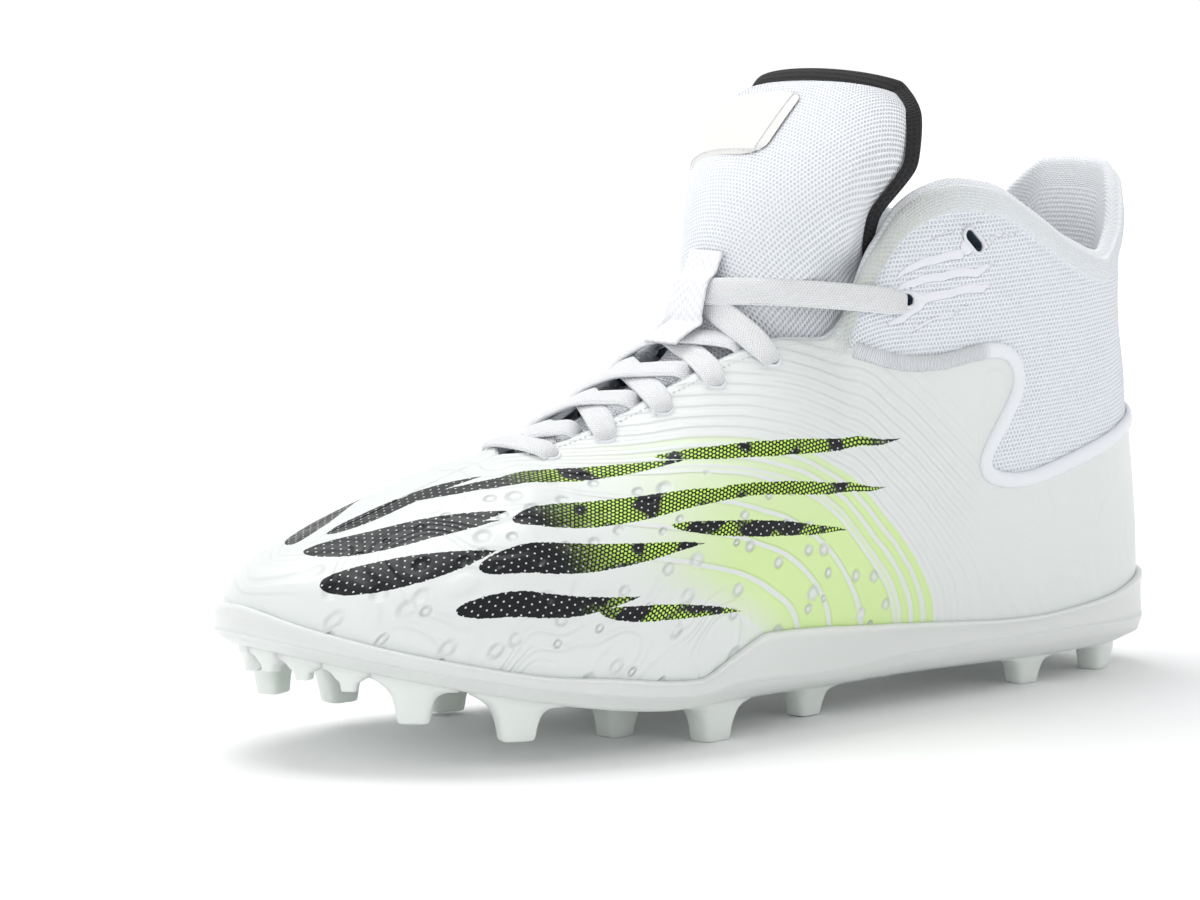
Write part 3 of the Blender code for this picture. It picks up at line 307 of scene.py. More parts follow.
def closed_spline(knots, values, period):
    """Returns the smooth closed curve through the values."""
    knots, values = np.asarray(knots, float), np.asarray(values, float)
    count = len(knots)
    step = np.diff(np.append(knots, knots[0] + period))
    rise = np.diff(np.append(values, values[0])) / step
    matrix = np.zeros((count, count))
    for i in range(count):
        before, after = step[i - 1], step[i]
        matrix[i, i - 1] += after
        matrix[i, i] += 2 * (before + after)
        matrix[i, (i + 1) % count] += before
    right = np.array([3 * (step[i] * rise[i - 1] + step[i - 1] * rise[i]) for i in range(count)])
    slopes = np.linalg.solve(matrix, right)
    return curve_reader(knots, values, slopes, step, lambda s: (s - knots[0]) % period + knots[0])


def soft_steps(knots, values, start=0.0):
    """Returns a curve through the values that never swings past them.

    start is the slope at the first value as a share of the first step's.
    """
    knots, values = np.asarray(knots, float), np.asarray(values, float)
    step = np.diff(knots)
    rise = np.diff(values) / step
    slopes = np.zeros(len(knots))
    slopes[0] = start * rise[0]
    for i in range(1, len(knots) - 1):
        if rise[i - 1] * rise[i] > 0:
            low, high = 2 * step[i] + step[i - 1], step[i] + 2 * step[i - 1]
            slopes[i] = (low + high) / (low / rise[i - 1] + high / rise[i])
    return curve_reader(knots, values, slopes, step, lambda s: np.clip(s, knots[0], knots[-1]))


def soft_curve(knots, values):
    """Returns the natural smooth curve through the values."""
    knots, values = np.asarray(knots, float), np.asarray(values, float)
    count = len(knots)
    step = np.diff(knots)
    rise = np.diff(values) / step
    matrix, right = np.zeros((count, count)), np.zeros(count)
    matrix[0, :2], right[0] = (2, 1), 3 * rise[0]
    matrix[-1, -2:], right[-1] = (1, 2), 3 * rise[-1]
    for i in range(1, count - 1):
        matrix[i, i - 1:i + 2] = step[i], 2 * (step[i - 1] + step[i]), step[i - 1]
        right[i] = 3 * (step[i] * rise[i - 1] + step[i - 1] * rise[i])
    slopes = np.linalg.solve(matrix, right)
    return curve_reader(knots, values, slopes, step, lambda s: s)


def round_the_foot(outer, inner):
    """Returns a closed curve from values along the outer side and back along the inner side."""
    knots = np.concatenate([SOLE["at"], 2 - SOLE["at"][-2:0:-1]])
    values = np.concatenate([outer, inner[-2:0:-1]])
    return closed_spline(knots, values, 2.0)


sole_x = round_the_foot(SOLE["x"] * FOOT_LENGTH, SOLE["x"] * FOOT_LENGTH)
sole_y = round_the_foot(SOLE["outer"] * BALL_WIDTH, -SOLE["inner"] * BALL_WIDTH)
sole_lean = round_the_foot(np.radians(SOLE["lean"]), np.radians(SOLE["lean"]))
sole_reach = round_the_foot(SOLE["reach"], SOLE["reach"])
top_x = soft_steps(TOP["at"], TOP["x"] * FOOT_LENGTH)
top_half = soft_steps(TOP["at"], TOP["half"] * BALL_WIDTH, start=1.3)
top_z = soft_steps(TOP["at"], TOP["z"] * HEEL_TAB_HEIGHT)
top_tilt = soft_steps(TOP["at"], np.radians(TOP["tilt"]))
top_reach = soft_steps(TOP["at"], TOP["reach"])
side_rim = soft_steps(SIDE["at"], SIDE["rim"] * SIDE_HEIGHT)
side_crease = soft_steps(SIDE["at"], SIDE["crease"] * SIDE_HEIGHT)
side_inset = soft_steps(SIDE["at"], SIDE["inset"] * BALL_WIDTH)
tongue = {name: soft_steps(np.arange(len(TONGUE_LINE)), values) for name, values in TONGUE.items()}


def place(s):
    """Returns how far along the outline s is, and 1 on the outer side or -1 on the inner side."""
    s = np.asarray(s, float) % 2.0
    return 1 - np.abs(1 - s), np.where(s <= 1, 1.0, -1.0)


def centre_line(x):
    """The middle of the foot turns towards the inner side at the toe."""
    return -TOE_SHIFT * smooth((x / FOOT_LENGTH - 0.55) / 0.45)


def under_z(x):
    """Height of the plate's underside: low at the heel, level at the ball, then the toe spring."""
    share = np.asarray(x, float) / FOOT_LENGTH
    forward = np.clip((share - SPRING_START) / (1 - SPRING_START), 0, None)
    step_up = smooth((share - 0.42) / 0.20) * (STUD_HEIGHT - HEEL_STUD_HEIGHT)
    return HEEL_STUD_HEIGHT + step_up + TOE_SPRING * forward ** SPRING_CURVE


def floor_z(x):
    """Height of the plate's inner floor."""
    return under_z(x) + PLATE_THICKNESS


def plan_normal(s):
    """Outward direction of the sole line, seen from above."""
    dx, dy = sole_x(s, slope=True), sole_y(s, slope=True)
    size = np.hypot(dx, dy)
    return -dy / size, dx / size


def columns(s):
    """Returns the four points of the cubic curve of each column."""
    s = np.asarray(s, float)
    at, side = place(s)
    x, y = sole_x(s), sole_y(s)
    nx, ny = plan_normal(s)
    foot = np.stack([x, y, floor_z(x) + GAP], -1)
    lean = sole_lean(s)
    low = np.stack([np.sin(lean) * nx, np.sin(lean) * ny, np.cos(lean)], -1)

    tx = top_x(at)
    head = np.stack([tx, centre_line(tx) + side * top_half(at), top_z(at)], -1)
    turn = smooth((at - 0.45) / (THROAT_END - 0.45))
    wide_x, wide_y = nx * (1 - turn), ny * (1 - turn) + side * turn
    size = np.hypot(wide_x, wide_y)
    tilt = top_tilt(at)
    wall = np.stack([np.sin(tilt) * wide_x / size, np.sin(tilt) * wide_y / size, -np.cos(tilt)], -1)
    step = 1e-4
    ahead = np.clip(at + step, 0, 1)
    behind = ahead - 2 * step
    ridge = np.stack([top_x(ahead) - top_x(behind),
                      centre_line(top_x(ahead)) - centre_line(top_x(behind)),
                      top_z(ahead) - top_z(behind)], -1)
    ridge /= np.linalg.norm(ridge, axis=-1, keepdims=True)
    swing = np.clip((at - THROAT_END) / (1 - THROAT_END), 0, 1) * np.pi / 2
    across = np.stack([np.zeros_like(x), side, np.zeros_like(x)], -1)
    vamp = np.cos(swing)[..., None] * across + np.sin(swing)[..., None] * ridge
    high = np.where((at > THROAT_END)[..., None], vamp, wall)

    span = np.linalg.norm(head - foot, axis=-1)
    return (foot, foot + low * (sole_reach(s) * span)[..., None],
            head + high * (top_reach(at) * span)[..., None], head)


def outer_face(s, v):
    """Points of the upper's outer face, v running from 0 at the sole to 1 at the top line."""
    s, v = np.broadcast_arrays(np.asarray(s, float), np.asarray(v, float))
    a, b, c, d = columns(s)
    v = v[..., None]
    u = 1 - v
    return u ** 3 * a + 3 * u * u * v * b + 3 * u * v * v * c + v ** 3 * d


def face_normal(s, v):
    """Outward normals of the outer face."""
    s, v = np.broadcast_arrays(np.asarray(s, float), np.asarray(v, float))
    v = np.clip(v, 0.002, 0.985)
    step = 1e-4
    along = outer_face(s + step, v) - outer_face(s - step, v)
    up = outer_face(s, v + step) - outer_face(s, v - step)
    normal = np.cross(up, along)
    return normal / np.linalg.norm(normal, axis=-1, keepdims=True)


def lifted(s, v, height):
    """Points at a height off the outer face, or inside it where the height is negative."""
    return outer_face(s, v) + face_normal(s, v) * np.asarray(height, float)[..., None]


def column_length(s):
    """Length of each column."""
    steps = np.linspace(0, 1, 25)
    line = outer_face(np.asarray(s, float)[..., None], steps)
    return np.linalg.norm(np.diff(line, axis=-2), axis=-1).sum(-1)


def level_at_height(s, z):
    """Returns v where each column reaches the height z."""
    s, z = np.broadcast_arrays(np.asarray(s, float), np.asarray(z, float))
    low, high = np.zeros_like(s), np.ones_like(s)
    for _ in range(30):
        middle = (low + high) / 2
        under = outer_face(s, middle)[..., 2] < z
        low, high = np.where(under, middle, low), np.where(under, high, middle)
    return (low + high) / 2


def wall_at(s, v):
    """Thickness of the upper: a thin moulded shell, padded round the ankle."""
    at, _ = place(s)
    ankle = smooth((0.60 - at) / 0.12) * smooth((v - 0.40) / 0.20)
    return SHELL_WALL + (PADDED_WALL - SHELL_WALL) * ankle


def collar_weight(at):
    """1 where the padded edge of the collar runs, falling to 0 along the throat."""
    return smooth((FLAP_FOOT + 0.02 - at) / 0.05)


def eyelet_place(at, from_edge, side):
    """Returns s and v of an eyelet's middle."""
    s = at if side > 0 else 2 - at
    return s, 1 - from_edge / float(column_length(s))


def tongue_face(row, share):
    """Centre points of the tongue's outer face and their outward normals.

    row runs along the tongue's line from 0 to the last row, share across it from -1 to 1.
    """
    row, share = np.broadcast_arrays(np.asarray(row, float), np.asarray(share, float))
    slope = np.radians(tongue["slope"](row))
    half, sag = tongue["half"](row) * TONGUE_WIDTH, tongue["sag"](row) * TONGUE_WIDTH
    turn = share * np.radians(tongue["sweep"](row))
    front = np.stack([np.sin(slope), np.zeros_like(slope), np.cos(slope)], -1)
    x = tongue["x"](row) * FOOT_LENGTH
    centre = np.stack([x, centre_line(x), tongue["z"](row) * HEEL_TAB_HEIGHT], -1)
    across = np.array([0.0, 1.0, 0.0])
    point = (centre + across * (half * np.sin(turn))[..., None]
             - front * (sag * (1 - np.cos(turn)))[..., None])
    normal = across * (sag * np.sin(turn))[..., None] + front * (half * np.cos(turn))[..., None]
    return point, normal / np.linalg.norm(normal, axis=-1, keepdims=True)


# From the drawing's frame, whose heel is at 0, to the shoe's frame
ORIGIN_SHIFT = (-0.14335, -0.00097, 0.0)

# Camera: turn and rise in degrees, distance and offsets in metres; the lens follows from a
# focal length of 4165.9 pixels in a picture 1200 pixels wide
CAMERA_TURN = 141.35
CAMERA_RISE = 6.36
CAMERA_DISTANCE = 1.100
CAMERA_LENS = 4165.9 / 1200 * 36
CAMERA_CENTRE = (0.150, 0.0, 0.070)
CAMERA_SIDE = -0.02549
CAMERA_UP = -0.00077

# Lights: power of the three lamps, of the white surroundings from above and near the ground,
# and the ground's own glow far off
TOP_POWER = 8.5
SIDE_POWER = 2.3
HEEL_POWER = 0.6
WORLD_POWER = 0.70
WORLD_LOW_POWER = 1.02
FLOOR_GLOW = 0.55

# Colours; the knits' darker hole colours are painted shade
SHELL_WHITE = (0.77, 0.80, 0.79)
SHELL_PALE = (0.74, 0.775, 0.76)
MESH_WHITE = (0.86, 0.89, 0.93)
MESH_HOLE_SHADE = (0.68, 0.75, 0.84)
STRIP_WHITE = (0.84, 0.85, 0.90)
COLLAR_GREY = (0.68, 0.71, 0.69)
COLLAR_WHITE = (0.84, 0.87, 0.90)
LIME = (0.66, 0.86, 0.36)
LIME_DOT = (0.58, 0.88, 0.14)
INK = (0.012, 0.013, 0.015)
DOT_WHITE = (0.72, 0.75, 0.76)
PLATE_COLOUR = (0.77, 0.815, 0.78)
LINING_WHITE = (0.88, 0.90, 0.93)
LINING_HOLE_SHADE = (0.82, 0.85, 0.89)
COVER_WHITE = (0.90, 0.92, 0.95)
COVER_HOLE_SHADE = (0.66, 0.71, 0.80)
KNIT_BLACK = (0.010, 0.010, 0.012)
KNIT_HOLE_SHADE = (0.004, 0.004, 0.005)
LACE_WHITE = (0.92, 0.93, 0.95)
WEBBING_WHITE = (0.90, 0.91, 0.94)
CORD_WHITE = (0.83, 0.85, 0.89)
PATCH_WHITE = (0.74, 0.735, 0.715)
THREAD_WHITE = (0.80, 0.81, 0.83)
RIM_WHITE = (0.80, 0.82, 0.85)
# dark colour painted as shade down in the eyelets' holes
RIM_HOLE_SHADE = (0.04, 0.07, 0.10)
BED_GREY = (0.66, 0.68, 0.70)
GROUND_WHITE = (0.94, 0.94, 0.95)

# Material slot of every piece
SLOTS = {"upper": "shell", "outsole": "plate", "tongue": "lining", "insole": "lining",
         "tongue_label": "lining", "lace_keeper": "webbing", "ankle_seam": "webbing",
         "laces": "webbing", "stitches": "webbing"}

# Printed leaves: start towards the toe, length, distance from the ridge, slope, bend, half
# width, all in millimetres, and the side
LEAVES = (
    (262.0, 38.0, 1.0, -0.06, 0.00800, 4.4, 1),
    (228.8, 49.7, 15.6, 0.260, 0.00400, 3.6, 1),
    (186.1, 72.5, 30.9, 0.833, -0.00671, 2.8, 1),
    (271.9, 42.3, 7.3, 0.636, -0.00273, 6.6, 1),
    (230.9, 67.4, 33.5, 0.203, 0.00322, 5.0, 1),
    (176.3, 56.2, 52.2, 0.666, -0.00673, 2.2, 1),
    (275.7, 36.8, 22.0, 0.679, -0.00504, 6.0, 1),
    (245.2, 59.4, 43.2, 0.228, 0.00241, 5.0, 1),
    (193.2, 56.7, 54.4, 0.787, -0.00614, 2.8, 1),
    (253.8, 46.2, 51.1, 0.463, -0.00168, 3.8, 1),
    (219.7, 43.1, 67.4, 0.583, -0.00059, 2.6, 1),
    (241.9, 37.8, 4.7, 0.800, -0.00900, 2.8, 1),
    (263.4, 30.6, 14.9, 0.600, -0.00200, 3.2, 1),
    (270.0, 44.0, 7.0, 0.640, -0.00270, 6.0, -1),
    (272.0, 38.0, 22.0, 0.680, -0.00500, 5.4, -1),
    (230.0, 64.0, 20.0, 0.250, 0.00350, 4.4, -1),
    (240.0, 60.0, 38.0, 0.230, 0.00240, 4.6, -1),
    (188.0, 70.0, 34.0, 0.800, -0.00660, 2.8, -1),
    (192.0, 56.0, 56.0, 0.780, -0.00610, 2.8, -1),
)

# Distance from the ridge to the sole, in millimetres, at places round the foot where the
# top line climbs while the print and the ribs run on straight
GIRTH_LINE = ((0.0, 119.2), (0.49, 119.2), (0.51, 119.0), (0.53, 118.2), (0.55, 116.9), (0.565, 115.7),
              (0.58, 114.2), (0.60, 111.6))

# The field whose lines the ribs and the lime bands follow: middle and reach along the foot
# and down the side, in millimetres, and its roundness. Behind its middle a straight line joins it
RIB_FIELD = (264.9, 113.6, 178.2, 138.9, 1.05)
BACK_REACH = 167.0
BACK_POWER = 36

# Relief of the upper in metres: the collar's roll and the groove under it, the edge that turns
# in, the welded strips, the step in from shell to mesh, the padding's soft waves, and the fine
# relief of the material
ROLL_HEIGHT = 0.0013
GROOVE_DEPTH = 0.0004
TURN_IN = 0.0007
STRIP_HEIGHT = 0.00035
STEP_IN = 0.0004
WAVE_HEIGHT = 0.00030
FINE_RELIEF = 0.00075

# Half the roll's width, and the groove's place, in millimetres down from the collar's edge
ROLL_HALF = 3.6
GROOVE_AT = 7.6

# Relief of the tongue in metres: puff of the cover over its rim, its soft waves, the rim's roll,
# and how much the roll grows at the top
PUFF = 0.0012
COVER_WAVES = 0.00035
RIM_ROLL = 0.0013
RIM_GROWTH = 0.0022

# Ribs over one unit of the field, share of them in front of the outer ribs, contour lines over
# one unit of noise, bubbles a millimetre, and widening of the leaves' table
RIB_CYCLES = 34.2
WIDE_RIB_SHARE = 0.37
CONTOURS = 11.0
BUBBLE_SCALE = 0.115
LEAF_WIDENING = 2.4

# Share of the table's half widths that the welded strips keep
STRIP_SHARE = 0.55

# Size of an eyelet's opening inside its rim, as shares of the table's hole
OPENING_LENGTH = 0.8
OPENING_WIDTH = 0.62

# Welded strips of the ankle: points with their half widths, in millimetres along the foot
# from the heel's middle and down from the top line
STRIPS = (
    ((136.2, 13.2, 1.0), (129.2, 15.3, 2.0), (120.4, 17.2, 2.2), (111.2, 17.8, 2.4)),
    ((125.5, 12.0, 0.5), (115.5, 11.9, 0.8), (108.2, 10.6, 0.8), (100.1, 8.6, 0.5)),
    ((109.0, 16.1, 3.8), (104.8, 13.8, 3.8)),
    ((101.7, 15.4, 1.6), (98.2, 12.4, 1.4), (89.1, 9.0, 0.6)),
    ((138.0, 15.1, 0.8), (129.2, 19.3, 2.0), (118.1, 22.1, 2.2), (105.9, 22.5, 2.2), (99.0, 19.0, 1.2)),
    ((133.9, 20.7, 4.0), (130.2, 22.6, 3.2), (127.4, 24.8, 2.4), (115.5, 27.0, 2.2),
     (104.0, 26.3, 2.0), (100.1, 24.6, 1.0)),
    ((141.1, 20.3, 1.0), (133.9, 25.0, 1.8), (126.6, 26.4, 2.0)),
    ((134.3, 29.4, 0.7), (127.7, 31.0, 1.2), (115.8, 32.5, 1.1), (108.6, 30.0, 0.6)),
)


def stations(throat_count, vamp_count):
    """Places of the columns round the foot, with one on the end of the throat."""
    back = np.linspace(0, THROAT_END, throat_count + 1)
    front = np.linspace(THROAT_END, 1, vamp_count + 1)[1:]
    side = np.concatenate([back, front])
    return side, np.concatenate([side, 2 - side[-2:0:-1]])


def first_hit(trees, origin, towards, reach):
    """Distance to the nearest of the trees along a line, or None where it meets none."""
    found = None
    for tree in trees:
        hit = tree.ray_cast(Vector(origin), Vector(towards), reach)[3]
        if hit is not None and (found is None or hit < found):
            found = hit
    return found


def tuck_depth(tree, rows, shares):
    """How far each point of the tongue moves in so that it passes under the upper's edge."""
    fine = 4
    row = np.linspace(rows[0], rows[-1], (len(rows) - 1) * fine + 1)
    share = np.linspace(shares[0], shares[-1], (len(shares) - 1) * fine + 1)
    point, normal = tongue_face(row[:, None], share[None, :])
    deep = np.zeros(point.shape[:2])
    reach = 0.016
    for i, j in np.ndindex(deep.shape):
        start = point[i, j] - normal[i, j] * reach
        hit = first_hit([tree], start, normal[i, j], reach + TONGUE_CLEAR)
        if hit is not None:
            deep[i, j] = reach - hit + TONGUE_CLEAR
    wide = np.pad(deep, fine, mode="edge")
    tucked = np.zeros((len(rows), len(shares)))
    for i, j in np.ndindex(tucked.shape):
        tucked[i, j] = wide[i * fine:(i + 2) * fine + 1, j * fine:(j + 2) * fine + 1].max()
    return tucked


def seam_route(count):
    """Places along the raised seam of one side, from the heel's middle to the throat."""
    at, z = SEAM["at"], SEAM["z"] * HEEL_TAB_HEIGHT
    run = np.concatenate([[0], np.cumsum(np.hypot(np.diff(at) * FOOT_LENGTH, np.diff(z)))])
    knots = np.concatenate([-run[:0:-1], run])
    both = soft_curve(knots, np.concatenate([-at[:0:-1], at]))
    high = soft_curve(knots, np.concatenate([z[:0:-1], z]))
    t = np.linspace(-run[-1], run[-1], count)
    return both(t), high(t)


def taut_line(height):
    """Heights of a line pulled taut over a row of heights."""
    taut = height.copy()
    last = len(height) - 1
    for k in range(len(height)):
        for a in range(k + 1):
            for b in range(max(k, a + 1), last + 1):
                share = (k - a) / (b - a)
                taut[k] = max(taut[k], height[a] * (1 - share) + height[b] * share)
    return taut


def throat_point(at, side, in_from_edge):
    """A point over the throat, a little inside its edge, and the way up from the foot there."""
    s = at if side > 0 else 2 - at
    edge = outer_face(s, 1.0)
    up = np.array([math.sin(THROAT_SLOPE), 0, math.cos(THROAT_SLOPE)])
    return edge - np.array([0, side * in_from_edge, 0]), up


# Helpers
def shift(points):
    """Moves points from the drawing's frame to the shoe's frame."""
    return np.asarray(points, float) + ORIGIN_SHIFT


def make_object(name, vertices, faces, material, smooth=True, attributes=None):
    """Adds a mesh with one material, and its named values per vertex."""
    mesh = bpy.data.meshes.new(name)
    vertices = np.asarray(vertices, float)
    mesh.from_pydata(vertices.tolist(), [], [list(map(int, f)) for f in faces])
    mesh.materials.append(material)
    for key, values in (attributes or {}).items():
        values = np.asarray(values, np.float32)
        kind = "FLOAT" if values.ndim == 1 else "FLOAT_VECTOR"
        layer = mesh.attributes.new(key, kind, "POINT")
        layer.data.foreach_set("value" if values.ndim == 1 else "vector", values.ravel())
    mesh.validate()
    if smooth:
        mesh.shade_smooth()
    piece = bpy.data.objects.new(name, mesh)
    bpy.context.scene.collection.objects.link(piece)
    return piece


def grid_faces(rows, columns, wrap=False, flip=False):
    """Quads of a grid whose points run along the columns first."""
    last = columns if wrap else columns - 1
    r, c = np.meshgrid(np.arange(rows - 1), np.arange(last), indexing="ij")
    r, c = r.ravel(), c.ravel()
    d = (c + 1) % columns
    quads = np.stack([r * columns + c, r * columns + d, (r + 1) * columns + d, (r + 1) * columns + c], -1)
    return quads[:, ::-1] if flip else quads


def ring_faces(start, rings, turns):
    """Quads between closed rings of points that begin at a given number."""
    return (grid_faces(rings, turns, wrap=True) + start).tolist()


def run_along(path):
    """Distance from the start of a path to each of its points."""
    return np.concatenate([[0], np.cumsum(np.linalg.norm(np.diff(path, axis=0), axis=-1))])


def signed_power(value, power):
    """A power of a value's size, with the value's sign."""
    return abs(value) ** power * math.copysign(1, value)


def fill_inwards(vertices, faces, first, count, half, lanes, height):
    """Closes a ring round the foot with lanes from both sides to its middle line."""
    start = len(vertices)
    for lane in range(1, lanes + 1):
        share = lane / lanes
        for k in range(1, half - 1):
            for a, b in ((first + k, first + count - k), (first + count - k, first + k)):
                spot = vertices[a] * (1 - share / 2) + vertices[b] * (share / 2)
                vertices.append(np.array([spot[0], spot[1], height(spot[0], share)]))

    def lane_point(lane, k, left):
        """Number of a lane's point on one side."""
        if k in (0, half - 1):
            return first + k
        if lane == 0:
            return first + k if left else first + count - k
        return start + ((lane - 1) * (half - 2) + k - 1) * 2 + (0 if left else 1)

    for lane in range(lanes):
        for k in range(half - 1):
            for left in (True, False):
                quad = [lane_point(lane, k, left), lane_point(lane, k + 1, left),
                        lane_point(lane + 1, k + 1, left), lane_point(lane + 1, k, left)]
                quad = list(dict.fromkeys(quad))
                if len(quad) > 2:
                    faces.append(quad)


def tidy_normals(piece, merge=0.0):
    """Turns all faces of a piece outwards, after joining points that lie together."""
    work = bmesh.new()
    work.from_mesh(piece.data)
    if merge:
        bmesh.ops.remove_doubles(work, verts=work.verts, dist=merge)
    bmesh.ops.recalc_face_normals(work, faces=work.faces)
    work.to_mesh(piece.data)
    work.free()
    piece.data.shade_smooth()


class Shader:
    """Short calls for building a material's nodes."""

    def __init__(self, name):
        """A new material with its surface and output."""
        self.material = bpy.data.materials.new(name)
        self.material.use_nodes = True
        self.tree = self.material.node_tree
        self.tree.nodes.clear()
        self.out = self.tree.nodes.new("ShaderNodeOutputMaterial")
        self.base = self.tree.nodes.new("ShaderNodeBsdfPrincipled")
        self.tree.links.new(self.base.outputs[0], self.out.inputs[0])

    def plug(self, socket, value):
        """Links a socket's source, or sets a plain value."""
        if isinstance(value, bpy.types.NodeSocket):
            self.tree.links.new(value, socket)
        elif isinstance(value, (tuple, list)) and len(value) == 3 and socket.type == "RGBA":
            socket.default_value = (*value, 1)
        else:
            socket.default_value = value

    def set(self, **values):
        """Sets the surface's own inputs, named with underscores for blanks."""
        for key, value in values.items():
            self.plug(self.base.inputs[key.replace("_", " ")], value)

    def math(self, kind, a, b=0.0, c=0.0, clamp=False):
        """One calculation."""
        node = self.tree.nodes.new("ShaderNodeMath")
        node.operation = kind
        node.use_clamp = clamp
        for socket, value in zip(node.inputs, (a, b, c)):
            self.plug(socket, value)
        return node.outputs[0]

    def add(self, a, b):
        """The sum of two values."""
        return self.math("ADD", a, b)

    def sub(self, a, b):
        """The difference of two values."""
        return self.math("SUBTRACT", a, b)

    def mul(self, a, b):
        """The product of two values."""
        return self.math("MULTIPLY", a, b)

    def high(self, a, b):
        """The higher of two values."""
        return self.math("MAXIMUM", a, b)

    def ramp(self, value, start, end):
        """0 before start, 1 after end, smooth between."""
        node = self.tree.nodes.new("ShaderNodeMapRange")
        node.interpolation_type = "SMOOTHSTEP"
        self.plug(node.inputs[0], value)
        self.plug(node.inputs[1], start)
        self.plug(node.inputs[2], end)
        return node.outputs[0]

    def attribute(self, name, output="Fac"):
        """A named value of the mesh."""
        node = self.tree.nodes.new("ShaderNodeAttribute")
        node.attribute_name = name
        return node.outputs[output]

    def parts(self, vector):
        """The three values of a vector."""
        node = self.tree.nodes.new("ShaderNodeSeparateXYZ")
        self.plug(node.inputs[0], vector)
        return node.outputs

    def weave(self):
        """Millimetres along and across a fabric, and a third value of its own."""
        return self.parts(self.attribute("weave", "Vector"))

    def flat(self, x, y):
        """A vector from two values."""
        node = self.tree.nodes.new("ShaderNodeCombineXYZ")
        self.plug(node.inputs[0], x)
        self.plug(node.inputs[1], y)
        return node.outputs[0]

    def place(self):
        """The point in the shoe's own frame."""
        return self.tree.nodes.new("ShaderNodeTexCoord").outputs["Object"]

    def noise(self, vector, scale, detail=2.0, roughness=0.5):
        """Smooth noise from 0 to 1."""
        node = self.tree.nodes.new("ShaderNodeTexNoise")
        self.plug(node.inputs["Vector"], vector)
        node.inputs["Scale"].default_value = scale
        node.inputs["Detail"].default_value = detail
        node.inputs["Roughness"].default_value = roughness
        return node.outputs["Fac"]

    def cells(self, vector, scale, randomness):
        """Distance to the nearest cell's middle, and the cell's colour."""
        node = self.tree.nodes.new("ShaderNodeTexVoronoi")
        node.voronoi_dimensions = "2D"
        self.plug(node.inputs["Vector"], vector)
        node.inputs["Scale"].default_value = scale
        node.inputs["Randomness"].default_value = randomness
        return node.outputs["Distance"], node.outputs["Color"]

    def mix(self, amount, a, b):
        """A colour between a and b."""
        node = self.tree.nodes.new("ShaderNodeMix")
        node.data_type = "RGBA"
        self.plug(node.inputs[0], amount)
        self.plug(node.inputs[6], a)
        self.plug(node.inputs[7], b)
        return node.outputs[2]

    def between(self, amount, a, b):
        """A number between a and b."""
        return self.add(self.mul(self.sub(1.0, amount), a), self.mul(amount, b))

    def bump(self, height, metres, normal=None):
        """A bump whose height runs from 0 to 1 over so many metres."""
        node = self.tree.nodes.new("ShaderNodeBump")
        node.inputs["Distance"].default_value = metres
        self.plug(node.inputs["Height"], height)
        if normal is not None:
            self.plug(node.inputs["Normal"], normal)
        return node.outputs[0]


def hexagon_dots(sh, u, v, pitch, radius, soft):
    """1 inside the dots of a staggered pattern over two millimetre values."""
    row_pitch = pitch * 0.866
    row = sh.math("DIVIDE", v, row_pitch)
    odd = sh.math("MODULO", sh.math("ABSOLUTE", sh.math("FLOOR", row)), 2.0)
    column = sh.add(sh.math("DIVIDE", u, pitch), sh.mul(odd, 0.5))
    du = sh.mul(sh.sub(sh.math("FRACT", column), 0.5), pitch)
    dv = sh.mul(sh.sub(sh.math("FRACT", row), 0.5), row_pitch)
    distance = sh.math("SQRT", sh.add(sh.mul(du, du), sh.mul(dv, dv)))
    return sh.ramp(distance, radius + soft, radius - soft), distance


# Surfaces of the materials
def absolute_fold(sh, cycle):
    """Distance from the middle of each cycle, from 0 to a half."""
    return sh.math("ABSOLUTE", sh.sub(sh.math("FRACT", cycle), 0.5))


def shell_relief(sh, x, girth, ring, spot):
    """Ribs, contour lines and bubbles of the shell, and what the lime bands need of them."""
    wobble = sh.sub(sh.noise(spot, 0.035, 2.0), 0.5)
    cycle = sh.mul(sh.add(ring, sh.mul(wobble, 0.022)), RIB_CYCLES)
    fold = absolute_fold(sh, cycle)
    wide_fold = absolute_fold(sh, sh.mul(cycle, WIDE_RIB_SHARE))
    outer_ribs = sh.ramp(ring, 0.905, 0.925)
    rib = sh.between(outer_ribs, sh.ramp(wide_fold, 0.05, 0.14), sh.ramp(fold, 0.10, 0.40))
    rib_area = sh.mul(sh.ramp(ring, 0.58, 0.66), sh.ramp(ring, 1.40, 1.22))
    rib_area = sh.mul(rib_area, sh.mul(sh.ramp(x, 70.0, 96.0), sh.ramp(x, 226.0, 200.0)))

    # contour lines of the forefoot, and faint arcs at the heel
    hills = sh.noise(spot, 0.030, 1.5, 0.4)
    contour = sh.ramp(absolute_fold(sh, sh.mul(hills, CONTOURS)), 0.34, 0.06)
    toe_part = sh.ramp(x, 205.0, 226.0)
    forefoot = sh.mul(sh.ramp(x, 118.0, 150.0), sh.high(sh.ramp(ring, 0.66, 0.58), toe_part))
    heel_part = sh.mul(sh.ramp(x, 96.0, 74.0), 0.35)
    lines = sh.mul(contour, sh.high(sh.mul(forefoot, 0.75), heel_part))

    # bubbles in front of the outer ribs
    bubble, tint = sh.cells(spot, BUBBLE_SCALE, 0.9)
    chance, share, _ = sh.parts(tint)
    near = sh.math("DIVIDE", bubble, sh.between(share, 0.13, 0.34))
    dome = sh.mul(sh.ramp(near, 1.0, 0.25), sh.ramp(chance, 0.26, 0.30))
    bubble_area = sh.mul(sh.ramp(x, 100.0, 112.0), sh.ramp(ring, 0.915, 0.89))
    bubble_area = sh.mul(bubble_area, sh.ramp(girth, 10.0, 22.0))

    relief = sh.add(sh.mul(lines, 0.5), sh.mul(sh.mul(dome, bubble_area), 1.1))
    relief = sh.add(sh.mul(sh.mul(rib, rib_area), 0.40), relief)
    band = sh.between(outer_ribs, sh.ramp(wide_fold, 0.05, 0.08), sh.ramp(fold, 0.14, 0.22))
    return relief, band, dome


